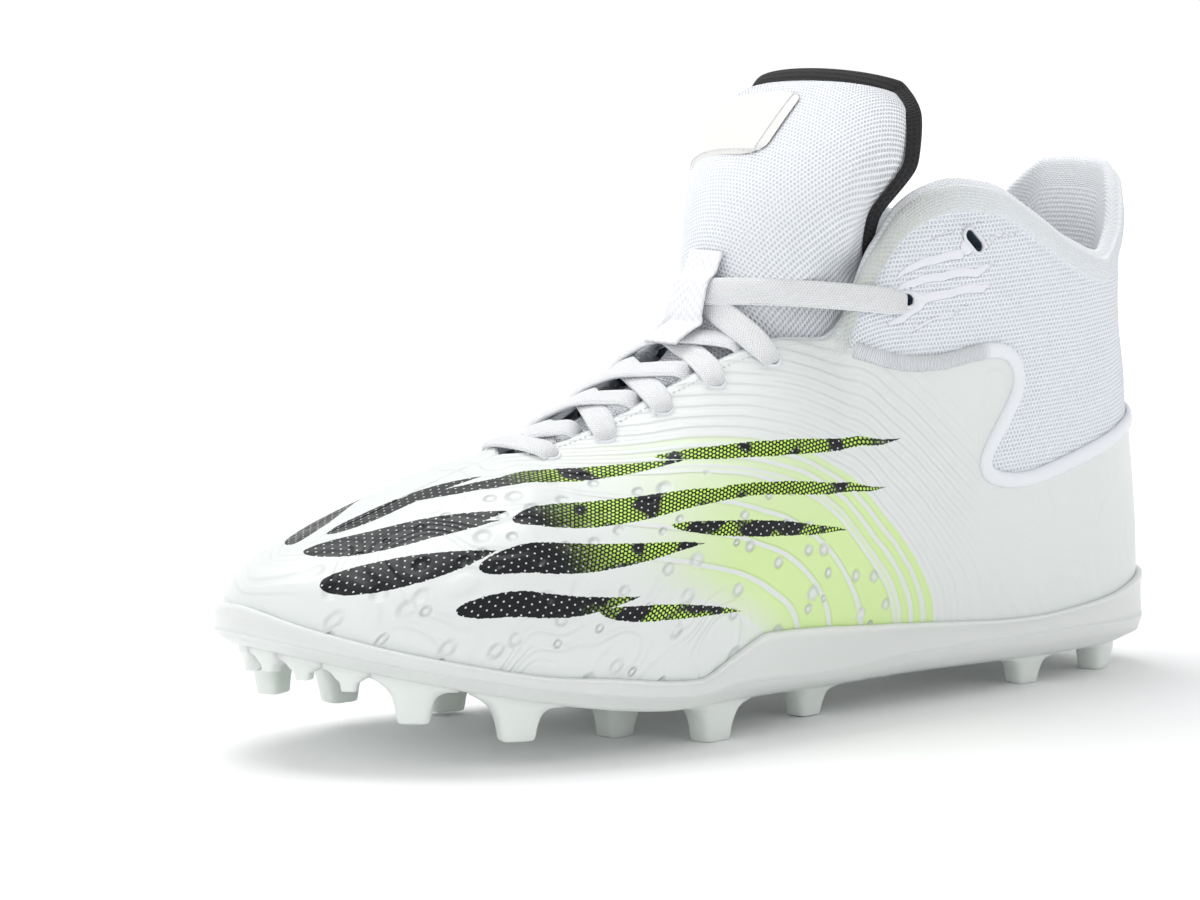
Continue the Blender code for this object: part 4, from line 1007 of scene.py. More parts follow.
def lime_share(sh, x, girth, ring, band, dome):
    """How much lime lies between the ribs: full on the outer side, faint on the inner one."""
    area = sh.mul(sh.ramp(ring, 1.012, 1.000), sh.ramp(ring, 0.55, 0.68))
    area = sh.mul(area, sh.ramp(x, 214.0, 176.0))
    fade = sh.between(sh.ramp(girth, 24.0, 84.0), 0.30, 0.95)
    spots = sh.mul(sh.ramp(dome, 0.15, 0.45), sh.ramp(ring, 0.915, 0.89))
    lime = sh.mul(sh.mul(sh.mul(area, band), fade), sh.sub(1.0, sh.mul(spots, 0.85)))
    outer_side = sh.ramp(sh.attribute("flank"), 0.0, 0.2)
    return sh.mul(lime, sh.between(outer_side, 0.35, 1.0))


def leaf_print(sh, x, down, spot):
    """The printed leaves: where their ink lies, and its colour with white and lime dots."""
    ragged = sh.mul(sh.sub(sh.noise(spot, 0.9, 2.0), 0.5), 0.9)
    leaf = None
    for start, length, base, slope, bend, width, side in LEAVES:
        t = sh.math("DIVIDE", sh.sub(x, start - length), length, clamp=True)
        run = sh.sub(start, x)
        middle = sh.add(base, sh.add(sh.mul(run, slope), sh.mul(sh.mul(run, run), bend)))
        front = sh.math("POWER", sh.math("SUBTRACT", 1.0, t, clamp=True), 0.45)
        half = sh.mul(sh.mul(sh.math("POWER", t, 0.95), front), width * LEAF_WIDENING)
        away = sh.math("ABSOLUTE", sh.sub(down, sh.mul(middle, side)))
        inside = sh.sub(sh.add(half, sh.mul(ragged, sh.ramp(half, 0.0, 0.8))), sh.add(away, 0.12))
        leaf = inside if leaf is None else sh.high(leaf, inside)
    dots, _ = hexagon_dots(sh, x, down, 2.15, 0.24, 0.07)
    fine, _ = hexagon_dots(sh, x, down, 1.25, 0.40, 0.08)
    patch = sh.ramp(sh.noise(spot, 0.09, 1.0), 0.40, 0.47)
    green_part = sh.mul(sh.mul(sh.ramp(x, 226.0, 206.0), sh.ramp(x, 118.0, 130.0)), patch)
    printed = sh.mix(sh.mul(dots, sh.sub(1.0, green_part)), INK, DOT_WHITE)
    return sh.ramp(leaf, -0.06, 0.06), sh.mix(sh.mul(fine, green_part), printed, LIME_DOT)


def shell_material():
    """The moulded shell, its ankle mesh, collar knit, relief, print and lime bands."""
    sh = Shader("shell")
    x, girth, _ = sh.parts(sh.attribute("developed", "Vector"))
    u, w, _ = sh.weave()
    edge = sh.attribute("edge")
    ring = sh.attribute("ring")
    spot = sh.flat(x, girth)

    below = sh.ramp(sh.attribute("ankle"), 0.6, -0.6)
    above = sh.sub(1.0, below)
    collar = sh.mul(sh.ramp(edge, 7.2, 6.6), sh.attribute("collar"))
    strips = sh.mul(sh.ramp(sh.attribute("film"), -0.15, 0.25), sh.sub(1.0, collar))
    knit = sh.mul(sh.mul(above, sh.sub(1.0, collar)), sh.sub(1.0, strips))
    relief, band, dome = shell_relief(sh, x, girth, ring, spot)
    lime = sh.mul(lime_share(sh, x, girth, ring, band, dome), below)
    ink, printed = leaf_print(sh, x, sh.mul(girth, sh.attribute("flank")), spot)
    ink = sh.mul(ink, below)

    # the ankle's mesh and the collar's knit
    holes, distance = hexagon_dots(sh, u, w, 1.30, 0.30, 0.14)
    weave = sh.sub(sh.ramp(distance, 0.05, 0.55), sh.mul(holes, 0.6))
    cord = sh.math("SINE", sh.mul(sh.add(u, sh.mul(w, 0.4)), 7.0))
    rows = sh.math("SINE", sh.mul(edge, 8.0))
    collar_knit = sh.add(sh.mul(cord, 0.3), sh.mul(rows, 0.3))

    shell = sh.mix(sh.noise(sh.place(), 30.0, 2.0), SHELL_PALE, SHELL_WHITE)
    # the mesh's holes get a darker colour as painted shade
    mesh = sh.mix(sh.mul(holes, 0.75), MESH_WHITE, MESH_HOLE_SHADE)
    colour = sh.mix(below, mesh, shell)
    colour = sh.mix(sh.mul(strips, 0.8), colour, sh.mix(below, STRIP_WHITE, shell))
    colour = sh.mix(lime, colour, LIME)
    colour = sh.mix(ink, colour, printed)
    colour = sh.mix(collar, colour, sh.mix(sh.ramp(x, 112.0, 66.0), COLLAR_GREY, COLLAR_WHITE))

    height = sh.add(sh.mul(relief, below), sh.mul(sh.mul(knit, weave), 0.32))
    height = sh.add(height, sh.mul(strips, sh.mul(above, 0.7)))
    height = sh.add(height, sh.mul(sh.mul(collar, collar_knit), 0.35))
    bump = sh.bump(height, FINE_RELIEF)
    grain = sh.bump(sh.noise(sh.place(), 2600.0, 3.0), 0.00006, bump)
    rough = sh.between(below, 0.85, 0.42)
    rough = sh.between(strips, rough, 0.45)
    rough = sh.between(ink, rough, 0.33)
    rough = sh.between(collar, rough, 0.9)
    sh.set(Base_Color=colour, Normal=grain, Roughness=rough, Coat_Roughness=0.35,
           Specular_IOR_Level=sh.between(ink, 0.5, 0.22),
           Coat_Weight=sh.mul(sh.mul(below, sh.sub(1.0, ink)), 0.12))
    return sh.material


def fabric_material(name, colour, deep, pitch, hole, roughness=0.85, height=0.0004):
    """A knitted mesh over the weave's two millimetre values, with painted shade in its holes."""
    sh = Shader(name)
    u, w, _ = sh.weave()
    holes, distance = hexagon_dots(sh, u, w, pitch, hole, pitch * 0.11)
    weave = sh.sub(sh.ramp(distance, 0.05, pitch * 0.5), sh.mul(holes, 0.6))
    # deep is the darker colour painted as shade in the holes
    sh.set(Base_Color=sh.mix(sh.mul(holes, 0.8), colour, deep), Roughness=roughness,
           Normal=sh.bump(weave, height))
    return sh.material


def plain_material(name, colour, roughness, grain=0.0, scale=900.0, **more):
    """One colour with a fine grain."""
    sh = Shader(name)
    if grain:
        sh.set(Normal=sh.bump(sh.noise(sh.place(), scale, 3.0), grain))
    sh.set(Base_Color=colour, Roughness=roughness, **more)
    return sh.material


def rim_material(name, colour, hole_shade_colour):
    """A smooth welded rim, with painted shade down in its hole."""
    sh = Shader(name)
    # deep marks the hole's wall, which gets a dark colour as painted shade
    depth = sh.ramp(sh.attribute("deep"), 0.2, 1.0)
    sh.set(Base_Color=sh.mix(depth, colour, hole_shade_colour), Roughness=0.45)
    return sh.material


def cord_material(name, colour):
    """A smooth welt with cross ribs where its third value is 1."""
    sh = Shader(name)
    u, _, ribbed = sh.weave()
    wave = sh.mul(sh.math("SINE", sh.mul(u, 6.0)), ribbed)
    sh.set(Base_Color=colour, Roughness=0.5, Normal=sh.bump(wave, 0.00028))
    return sh.material


def braid_material(name, colour, along, across):
    """A flat woven band: fine chevrons along its length, with painted shade in their troughs."""
    sh = Shader(name)
    u, w, _ = sh.weave()
    slant = sh.math("ABSOLUTE", w)
    wave = sh.math("SINE", sh.mul(sh.add(u, sh.mul(slant, 0.9)), along))
    rows = sh.math("SINE", sh.mul(w, across))
    height = sh.add(sh.mul(wave, 0.5), sh.mul(rows, 0.5))
    # the low troughs of the weave get a darker colour as painted shade
    sh.set(Base_Color=sh.mix(sh.ramp(height, -0.2, -0.9), colour, tuple(0.86 * c for c in colour)),
           Roughness=0.78, Normal=sh.bump(height, 0.00016))
    return sh.material


# The upper
def seam_distance(s, v):
    """Millimetres from the raised seam, above it positive."""
    turn, height = seam_route(500)
    line = outer_face(turn % 2.0, level_at_height(turn % 2.0, height)) * 1000
    tree = KDTree(len(line))
    for k, p in enumerate(line):
        tree.insert(p, k)
    tree.balance()
    points = outer_face(s, v) * 1000
    at, _ = place(s)
    half = len(turn) // 2
    outline = np.stack([np.abs(turn[half:]), height[half:] * 1000], -1)
    # closed round all that lies above the seam and behind the throat
    outline = np.vstack([outline, [[0.53, 101], [0.60, 400], [-0.1, 400], [-0.1, outline[0, 1]]]])
    flat = np.stack([at, points[..., 2]], -1)
    inside = np.zeros(at.shape, bool)
    count = len(outline)
    for i in range(count):
        (x1, y1), (x2, y2) = outline[i], outline[(i + 1) % count]
        crosses = (y1 > flat[..., 1]) != (y2 > flat[..., 1])
        with np.errstate(divide="ignore", invalid="ignore"):
            reach = (x2 - x1) * (flat[..., 1] - y1) / (y2 - y1) + x1
        inside ^= crosses & (flat[..., 0] < reach)
    distance = np.array([tree.find(p)[2] for p in points.reshape(-1, 3)]).reshape(at.shape)
    return np.where(inside, distance, -distance)


def strip_distance(u, w):
    """How far inside the welded strips of the ankle each point lies, in millimetres."""
    best = np.full(u.shape, -20.0)
    for points in STRIPS:
        points = np.asarray(points, float)
        for (u1, w1, r1), (u2, w2, r2) in zip(points, points[1:]):
            du, dw = u2 - u1, w2 - w1
            t = np.clip(((u - u1) * du + (w - w1) * dw) / (du * du + dw * dw), 0, 1)
            gap = np.hypot(u - u1 - t * du, w - w1 - t * dw)
            best = np.maximum(best, STRIP_SHARE * (r1 + (r2 - r1) * t) - gap)
    return best


def weave_of(along, across, shape):
    """A fabric's millimetre values at each point of a grid."""
    parts = [np.broadcast_to(value, shape) for value in (along, across, 0.0)]
    return np.stack(parts, -1).reshape(-1, 3)


def punch_grid(points, faces, base_points):
    """Takes the faces over the eyelets out of a grid and draws their rims round."""
    drop = np.zeros(len(points), bool)
    for centre, normal, slant, across, half_long, radius in eyelet_frames():
        d = base_points - centre
        near = (np.abs(d @ normal) < 0.006) & (np.linalg.norm(d, axis=1) < half_long + 0.006)
        a, b = d @ slant, d @ across
        straight = half_long - radius
        rest = np.hypot(np.clip(np.abs(a) - straight, 0, None), b)
        pull = near & (rest > radius * 0.55) & (rest < radius * 1.45)
        clear = np.maximum(rest, 1e-9)
        excess = np.clip(np.abs(a) - straight, 0, None) * np.sign(a)
        move = (radius / clear - 1)[:, None] * (excess[:, None] * slant + b[:, None] * across)
        points[pull] += move[pull]
        drop |= near & (rest <= radius * 0.55)
    keep = ~drop[faces].any(axis=1)
    return points, faces[keep]


def eyelet_frames():
    """Centre, directions and size of every eyelet."""
    frames = []
    for _, at, from_edge, long in EYELETS:
        for side in (1, -1):
            s, v = eyelet_place(at, from_edge * FOOT_LENGTH, side)
            centre, normal = outer_face(s, v), face_normal(s, v)
            along = outer_face(s + 0.002, v) - outer_face(s - 0.002, v)
            along -= normal * (along @ normal)
            along = along / np.linalg.norm(along) * side
            slant = (along + np.cross(normal, along) * -0.9 * side) / math.hypot(1, 0.9)
            frames.append((centre, normal, slant, np.cross(normal, slant),
                           long * EYELET_RADIUS / 2 * OPENING_LENGTH, EYELET_RADIUS * OPENING_WIDTH))
    return frames


def girth_of(at, points):
    """Millimetres from the ridge down to each point, as the print and the ribs count them."""
    whole = np.interp(at, *np.transpose(GIRTH_LINE))
    climb = np.hypot(np.diff(points[..., 1], axis=0, prepend=points[:1, :, 1]),
                     np.diff(points[..., 2], axis=0, prepend=points[:1, :, 2])).cumsum(axis=0) * 1000
    whole = np.where(at > GIRTH_LINE[-1][0], top_half(at) * 1000 + climb[-1], whole)
    return whole[None, :] - climb


def rib_field(x, girth):
    """The field that the ribs and the lime bands follow, 1 at the back of the lime."""
    middle_x, middle_girth, reach_x, reach_girth, power = RIB_FIELD
    down = np.hypot(middle_girth - girth, 12) - 8
    field = ((np.abs(middle_x - x) / reach_x) ** power + (down / reach_girth) ** power) ** (1 / power)
    behind = np.clip((middle_x - x) / BACK_REACH, 0.01, None)
    return (field ** BACK_POWER + behind ** BACK_POWER) ** (1 / BACK_POWER)


def make_shell_look(material, lining):
    """The upper's fine outer face, its rim and its lining."""
    _, s = stations(200, 70)
    count = len(s)
    at, flank = place(s)
    length = column_length(s)
    band = 0.008 / length
    body = np.linspace(0, 1, 98)[:, None] * (1 - band)[None, :]
    upper_band = 1 - band[None, :] * np.linspace(1, 0, 21)[1:, None]
    v = np.vstack([body, upper_band])
    ring = np.broadcast_to(s, v.shape)
    edge = (1 - v) * length[None, :] * 1000
    points = outer_face(ring, v)
    normal = face_normal(ring, v)

    # a puffy collar over a groove, and an edge that turns in
    weight = collar_weight(at)[None, :]
    roll = np.sqrt(np.clip(1 - ((edge - ROLL_HALF) / ROLL_HALF) ** 2, 0, 1)) * ROLL_HEIGHT * weight
    roll -= np.exp(-((edge - GROOVE_AT) / 0.7) ** 2) * GROOVE_DEPTH * weight
    turn_in = np.clip(1 - edge / 1.3, 0, 1) ** 2 * TURN_IN

    # welded strips, the step in from shell to mesh and soft waves of the padding
    middle = outer_face(s, np.full(count, 0.6))
    steps = np.linalg.norm(np.roll(middle, -1, axis=0) - middle, axis=-1) * 1000
    run = np.cumsum(steps) - steps
    run = np.where(s <= 1, run, steps.sum() - run)
    w = v * length[None, :] * 1000
    film = strip_distance(np.broadcast_to(run, v.shape), edge)
    ankle = seam_distance(ring, v)
    strips = smooth((film + 0.1) / 0.7) * smooth((ankle - 1) / 1.5) * smooth((edge - 6) / 1.5)
    step_in = smooth((ankle + 1) / 2) * STEP_IN
    soft = (np.sin(points[..., 0] * 260 + points[..., 1] * 70) * np.sin(points[..., 2] * 190 + 1.3)
            * smooth((ankle - 3) / 8)) * WAVE_HEIGHT
    height = roll - turn_in + strips * STRIP_HEIGHT - step_in + soft
    outside = points + normal * height[..., None]

    x, girth = points[..., 0] * 1000, girth_of(at, points)
    attributes = {
        "developed": np.stack([x, girth, 0 * x], -1).reshape(-1, 3),
        "weave": weave_of(run, w, v.shape),
        "edge": edge.ravel(), "ankle": ankle.ravel(), "film": film.ravel(),
        "ring": rib_field(x, girth).ravel(), "flank": np.broadcast_to(flank, v.shape).ravel(),
        "collar": np.broadcast_to(weight, v.shape).ravel(),
    }
    flat, faces = punch_grid(outside.reshape(-1, 3).copy(), grid_faces(len(v), count, wrap=True),
                             points.reshape(-1, 3))
    outer = make_object("upper_face", shift(flat), faces, material, attributes=attributes)
    inner = points - normal * wall_at(ring, v)[..., None]
    rim_wall = wall_at(s, np.ones_like(s))
    return outer, make_lining_look(outside[-1], inner, points, rim_wall, run, lining)


def make_lining_look(edge, inner, points, wall, run, material):
    """The upper's rounded rim, and its lining down to the footbed."""
    picked = np.r_[0:20:4, 20:len(inner):3]
    rims = []
    for share, rise in ((0.2, 0.7), (0.5, 1.0), (0.8, 0.7)):
        rim = edge * (1 - share) + inner[-1] * share
        rim[:, 2] += np.minimum(wall * 0.4, EDGE_RISE) * rise
        rims.append(rim)
    down = inner[::-1][picked]
    for _ in range(20):
        for k in range(-5, 6):
            down[:, k] = (down[:, k - 1] + 2 * down[:, k] + down[:, k + 1]) / 4
    sheet = np.concatenate([[edge], rims, down])
    weave = weave_of(run, np.arange(len(sheet))[:, None] * 3.0, sheet.shape[:2])
    base = np.concatenate([points[-1:]] * 4 + [points[::-1][picked]])
    flat, faces = punch_grid(sheet.reshape(-1, 3).copy(), grid_faces(len(sheet), len(run), wrap=True),
                             base.reshape(-1, 3))
    return make_object("upper_lining", shift(flat), faces, material, attributes={"weave": weave})


def make_eyelet_rings(material):
    """A thin welded rim and the wall of the hole for every eyelet, marked where shade is painted down the
    hole.
    """
    vertices, faces, deep = [], [], []
    turns = 28
    profile = ((1.55, -0.00005), (1.42, 0.00042), (1.18, 0.00050), (1.0, 0.00020), (0.97, -0.0006),
               (0.97, -0.0024), (1.0, -0.0046))
    for centre, normal, slant, across, half_long, radius in eyelet_frames():
        start = len(vertices)
        for scale, depth in profile:
            for k in range(turns):
                angle = 2 * math.pi * k / turns
                reach = radius * scale
                push = (half_long - radius) * (1 if math.cos(angle) > 0 else -1)
                spot = (centre + slant * (reach * math.cos(angle) + push)
                        + across * reach * math.sin(angle))
                vertices.append(spot + normal * depth)
                # deep is 1 down the hole's wall, where shade is painted
                deep.append(1.0 if depth < -0.0005 else 0.0)
        faces += ring_faces(start, len(profile), turns)
    return make_object("eyelet_rims", shift(vertices), faces, material, attributes={"deep": deep})


# The plate and its studs
def make_plate_look(material):
    """The plate's fine tray."""
    side, s = stations(150, 60)
    count, half = len(s), len(side)
    at, _ = place(s)
    foot = outer_face(s, np.zeros_like(s))
    nx, ny = plan_normal(s)
    out = np.stack([nx, ny, np.zeros_like(nx)], -1)
    under = under_z(foot[:, 0])
    rim_v = level_at_height(s, under + side_rim(at))
    crease_v = np.minimum(level_at_height(s, under + side_crease(at)), rim_v * 0.7)

    def on_wall(share, height):
        """A ring on the side wall, share running from the crease to the rim."""
        return lifted(s, crease_v + (rim_v - crease_v) * share, np.full(count, height))

    lip = PLATE_GAP + RIM_WALL
    crease = lifted(s, crease_v, np.full(count, PLATE_GAP + RIM_WALL * 1.5))
    crease[:, 2] = under + side_crease(at)
    bottom = foot - out * side_inset(at)[:, None]
    bottom[:, 2] = under
    fall = ((floor_z(foot[:, 0]) - under) / (crease[:, 2] - under))[:, None]
    corner = bottom + (crease - bottom) * np.minimum(fall, 1)
    reach = ((corner - foot) * out).sum(-1)
    corner += out * np.maximum(PLATE_GAP + 0.7 * RIM_WALL - reach, 0)[:, None]
    base = foot + out * PLATE_GAP
    base[:, 2] = floor_z(foot[:, 0])
    turn = bottom - out * 0.0016
    rings = [base, on_wall(0.5, 0.0001), on_wall(0.985, 0.0001), on_wall(1.0, PLATE_GAP * 0.8),
             on_wall(1.0, lip * 0.75), on_wall(0.985, lip * 1.02), on_wall(0.93, lip * 1.10),
             on_wall(0.86, lip * 1.02), on_wall(0.80, lip * 0.88), on_wall(0.5, lip * 0.92),
             on_wall(0.2, lip * 1.08), crease + (on_wall(0.0, 0) - crease) * 0.06, crease,
             crease * 0.9 + corner * 0.1, crease * 0.5 + corner * 0.5, corner,
             corner * 0.4 + bottom * 0.6, bottom * 0.85 + corner * 0.15, turn]
    vertices = [p for ring in rings for p in ring]
    faces = grid_faces(len(rings), count, wrap=True).tolist()

    def hollow(x, share):
        """Height of the underside, a little hollow towards the middle."""
        return float(under_z(x)) + 0.0007 * math.sin(share * math.pi / 2)

    fill_inwards(vertices, faces, count * (len(rings) - 1), count, half, 7, hollow)
    piece = make_object("plate_skin", shift(vertices), faces, material)
    tidy_normals(piece)
    return piece


# Rings of a stud from its tip up into the plate: depth below the plate as a share of its height,
# then growth of its length and width
STUD_FLARE = (
    # depth, long, wide
    (1.000, 0.00, 0.00),
    (1.000, 0.60, 0.68),
    (0.985, 0.66, 0.74),
    (0.940, 0.69, 0.77),
    (0.850, 0.72, 0.79),
    (0.700, 0.76, 0.81),
    (0.550, 0.82, 0.84),
    (0.400, 0.90, 0.88),
    (0.280, 1.02, 0.93),
    (0.180, 1.20, 1.01),
    (0.090, 1.48, 1.14),
    (0.020, 1.90, 1.32),
    (-0.10, 2.05, 1.36),
)

# How far a stud's last ring lies up in the plate
STUD_ROOT = 0.0016


def make_stud_looks(material):
    """Every stud as a rounded blade that flares into the plate."""
    vertices, faces = [], []
    turns = 32
    turn = np.linspace(0, 2, 600, endpoint=False)
    facing = np.stack(plan_normal(turn), -1)
    outline = np.stack([sole_x(turn), sole_y(turn)], -1)
    outline -= facing * (side_inset(place(turn)[0]) + 0.0004)[:, None]
    for _, side, at, inset, long, wide, drop in STUDS:
        s = at if side > 0 else 2 - at
        nx, ny = plan_normal(s)
        out, along = np.array([nx, ny]), np.array([ny, -nx])
        edge = np.array([sole_x(s), sole_y(s)]) - out * (side_inset(at) + inset * BALL_WIDTH + GAP)
        root = float(under_z(edge[0]))
        level = STUD_HEIGHT if at > 0.5 else HEEL_STUD_HEIGHT
        length, width = long * STUD_HEIGHT, wide * STUD_HEIGHT
        tooth = drop < 0.9
        start = len(vertices)
        for depth, grow_long, grow_wide in STUD_FLARE:
            z = max(root - depth * drop * level, 0.0) if depth > 0 else root + STUD_ROOT
            if tooth and depth >= 0.5:
                grow_long = grow_long * 0.75
            lean_in = STUD_DRAFT * width * max(depth, 0)
            power = 0.5 + 0.4 * (1 - smooth(depth / 0.4))
            for k in range(turns):
                angle = 2 * math.pi * k / turns
                c, q = math.cos(angle), math.sin(angle)
                a = signed_power(c, power) * 0.5 * grow_long * length
                b = signed_power(q, power) * 0.5 * grow_wide * width
                beyond = min(b - width * 0.5 - lean_in, inset * BALL_WIDTH)
                p = edge + along * a + out * beyond
                k_near = np.argmin(((outline - p) ** 2).sum(-1))
                outside = (p - outline[k_near]) @ facing[k_near]
                p = p - facing[k_near] * max(outside, 0.0)
                rise = float(under_z(p[0])) - root
                vertices.append((p[0], p[1], z + rise * (1 - max(depth, 0)) ** 2))
        faces += ring_faces(start, len(STUD_FLARE), turns)
    piece = make_object("studs", shift(vertices), faces, material)
    tidy_normals(piece, merge=1e-6)
    piece.data.set_sharp_from_angle(angle=math.radians(60))
    return piece


# The tongue
def tree_of(piece):
    """A search tree over a piece's faces, in the drawing's frame."""
    vertices = [piece.matrix_world @ v.co - Vector(ORIGIN_SHIFT) for v in piece.data.vertices]
    return BVHTree.FromPolygons(vertices, [tuple(p.vertices) for p in piece.data.polygons])


def make_tongue_look(upper_tree, cover, back):
    """The tongue's face and sides in mesh, and its black lining with a puffy rim."""
    rows, shares = np.linspace(0, len(TONGUE_LINE) - 1, 18), np.linspace(-1, 1, 13)
    tuck = tuck_depth(upper_tree, rows, shares)
    fine_rows, fine_shares = np.linspace(rows[0], rows[-1], 150), np.linspace(-1, 1, 90)
    grid = np.array([np.interp(fine_shares, shares, line) for line in tuck])
    grid = np.array([np.interp(fine_rows, rows, column) for column in grid.T]).T
    for _ in range(6):
        wide = np.pad(grid, 1, mode="edge")
        grid = np.maximum(grid, 0) * 0.4 + 0.15 * (wide[:-2, 1:-1] + wide[2:, 1:-1]
                                                   + wide[1:-1, :-2] + wide[1:-1, 2:])
    row, share = fine_rows[:, None], fine_shares[None, :]
    face, normal = tongue_face(row, share)
    thick = tongue["thick"](row) * TONGUE_THICKNESS * (1 - 0.55 * np.abs(share) ** 3)
    du = np.linalg.norm(np.diff(face, axis=1, prepend=face[:, :1]), axis=-1).cumsum(axis=1) * 1000
    du -= du[:, len(fine_shares) // 2][:, None]
    dw = np.linalg.norm(np.diff(face, axis=0, prepend=face[:1]), axis=-1).cumsum(axis=0) * 1000
    face = face - normal * grid[..., None]
    middle = face - normal * (thick * 0.5)[..., None]
    near_top = smooth((row - 7.0) / 1.2)
    from_side = (1 - np.abs(share)) * tongue["half"](row) * TONGUE_WIDTH * 1000
    from_top = dw[-1:, :] - dw
    puff = (smooth(np.minimum(from_side, from_top) / 5.0) - 1) * PUFF
    waves = COVER_WAVES * np.sin(face[..., 2] * 150 + face[..., 1] * 60) * smooth((row - 4.5) / 2)
    front = face + normal * (puff + waves)[..., None]
    weave = weave_of(du, dw, du.shape)
    cover_piece = make_object("tongue_cover", shift(front).reshape(-1, 3), grid_faces(*du.shape), cover,
                              attributes={"weave": weave})
    i, j = outline_of(*du.shape).T
    roll_piece = make_tongue_rim(middle[i, j], normal[i, j], thick[i, j], near_top[i, 0], back)
    behind = face - normal * thick[..., None]
    back_piece = make_object("tongue_back", shift(behind).reshape(-1, 3), grid_faces(*du.shape, flip=True),
                             back, attributes={"weave": weave})
    return cover_piece, roll_piece, back_piece


def make_tongue_rim(middle, normal, thick, near_top, material):
    """The lining's roll, from the cover's edge round to the back."""
    outward = np.cross(np.gradient(middle, axis=0), normal)
    outward /= np.maximum(np.linalg.norm(outward, axis=-1, keepdims=True), 1e-9)
    outward *= np.sign(((middle - middle.mean(axis=0)) * outward).sum(-1, keepdims=True))
    swell = RIM_ROLL + RIM_GROWTH * near_top
    angles = np.linspace(-0.15, 1.0, 12) * math.pi
    roll = np.array([middle + normal * (math.cos(angle) * thick * 0.5)[:, None]
                     + outward * (math.sin(angle) * swell)[:, None] for angle in angles])
    weave = weave_of(np.arange(len(middle)) * 1.0, np.arange(len(roll))[:, None] * 0.7, roll.shape[:2])
    return make_object("tongue_rim", shift(roll).reshape(-1, 3), grid_faces(*roll.shape[:2]), material,
                       attributes={"weave": weave})


def outline_of(rows, columns):
    """Grid places along one side, the top and the other side."""
    up = [(r, 0) for r in range(rows)]
    over = [(rows - 1, c) for c in range(1, columns)]
    down = [(r, columns - 1) for r in range(rows - 2, -1, -1)]
    return np.array(up + over + down)


# Laces, seam and small work
def sweep(path, across, out, section):
    """A closed band with a given section along a path, with its weave's values."""
    section = np.array(section)
    ring = len(section)
    vertices = path[:, None] + across[:, None] * section[None, :, :1] + out[:, None] * section[None, :, 1:2]
    weave = weave_of(run_along(path)[:, None] * 1000, section[None, :, 0] * 1000, vertices.shape[:2])
    faces = grid_faces(len(path), ring, wrap=True, flip=True).tolist()
    faces += [list(range(ring)), list(range((len(path) - 1) * ring, len(path) * ring))[::-1]]
    return vertices.reshape(-1, 3), faces, weave


def oval(width, thickness, count, power):
    """A flat oval section."""
    points = []
    for k in range(count):
        angle = 2 * math.pi * k / count
        points.append((signed_power(math.cos(angle), 0.8) * width / 2,
                       signed_power(math.sin(angle), power) * thickness / 2))
    return points


def draped_path(trees, stops, count, lift, dips):
    """A lace laid from stop to stop over what lies beneath, as points and directions.

    dips says how deep each end bends down into its eyelet.
    """
    reach = 0.05
    places = np.arange(count)
    middles, sides, outs = [], [], []
    for (start, start_out), (end, end_out) in zip(stops, stops[1:]):
        share = np.linspace(0, 1, count)[:, None]
        line = start + (end - start) * share
        out = start_out * (1 - share) + end_out * share
        out /= np.linalg.norm(out, axis=-1, keepdims=True)
        side = np.cross(end - start, out)
        side /= np.linalg.norm(side, axis=-1, keepdims=True)
        height = np.full(count, -reach)
        for k in range(count):
            for off in (-0.4, 0.0, 0.4):
                origin = line[k] + out[k] * reach + side[k] * off * LACE_WIDTH
                hit = first_hit(trees, origin, -out[k], 2 * reach)
                if hit is not None:
                    height[k] = max(height[k], reach - hit)
        taut = np.maximum(np.interp(places, places[::3], taut_line(height[::3])), height)
        middles.append(line + out * (taut + lift)[:, None])
        sides.append(side)
        outs.append(out)
    path, side, out = (np.concatenate([group[0]] + [part[1:] for part in group[1:]])
                       for group in (middles, sides, outs))
    for line in (path, side, out):
        for _ in range(12):
            line[1:-1] = line[1:-1] * 0.5 + (line[2:] + line[:-2]) * 0.25
    side /= np.linalg.norm(side, axis=-1, keepdims=True)
    out /= np.linalg.norm(out, axis=-1, keepdims=True)
    run = run_along(path)
    for dip, distance in zip(dips, (run, run[-1] - run)):
        near = np.clip(1 - distance / 0.0030, 0, 1)
        drop = (1 - np.sqrt(np.clip(1 - near ** 2, 0, 1))) * dip
        path = path - out * drop[:, None]
    return path, side, out


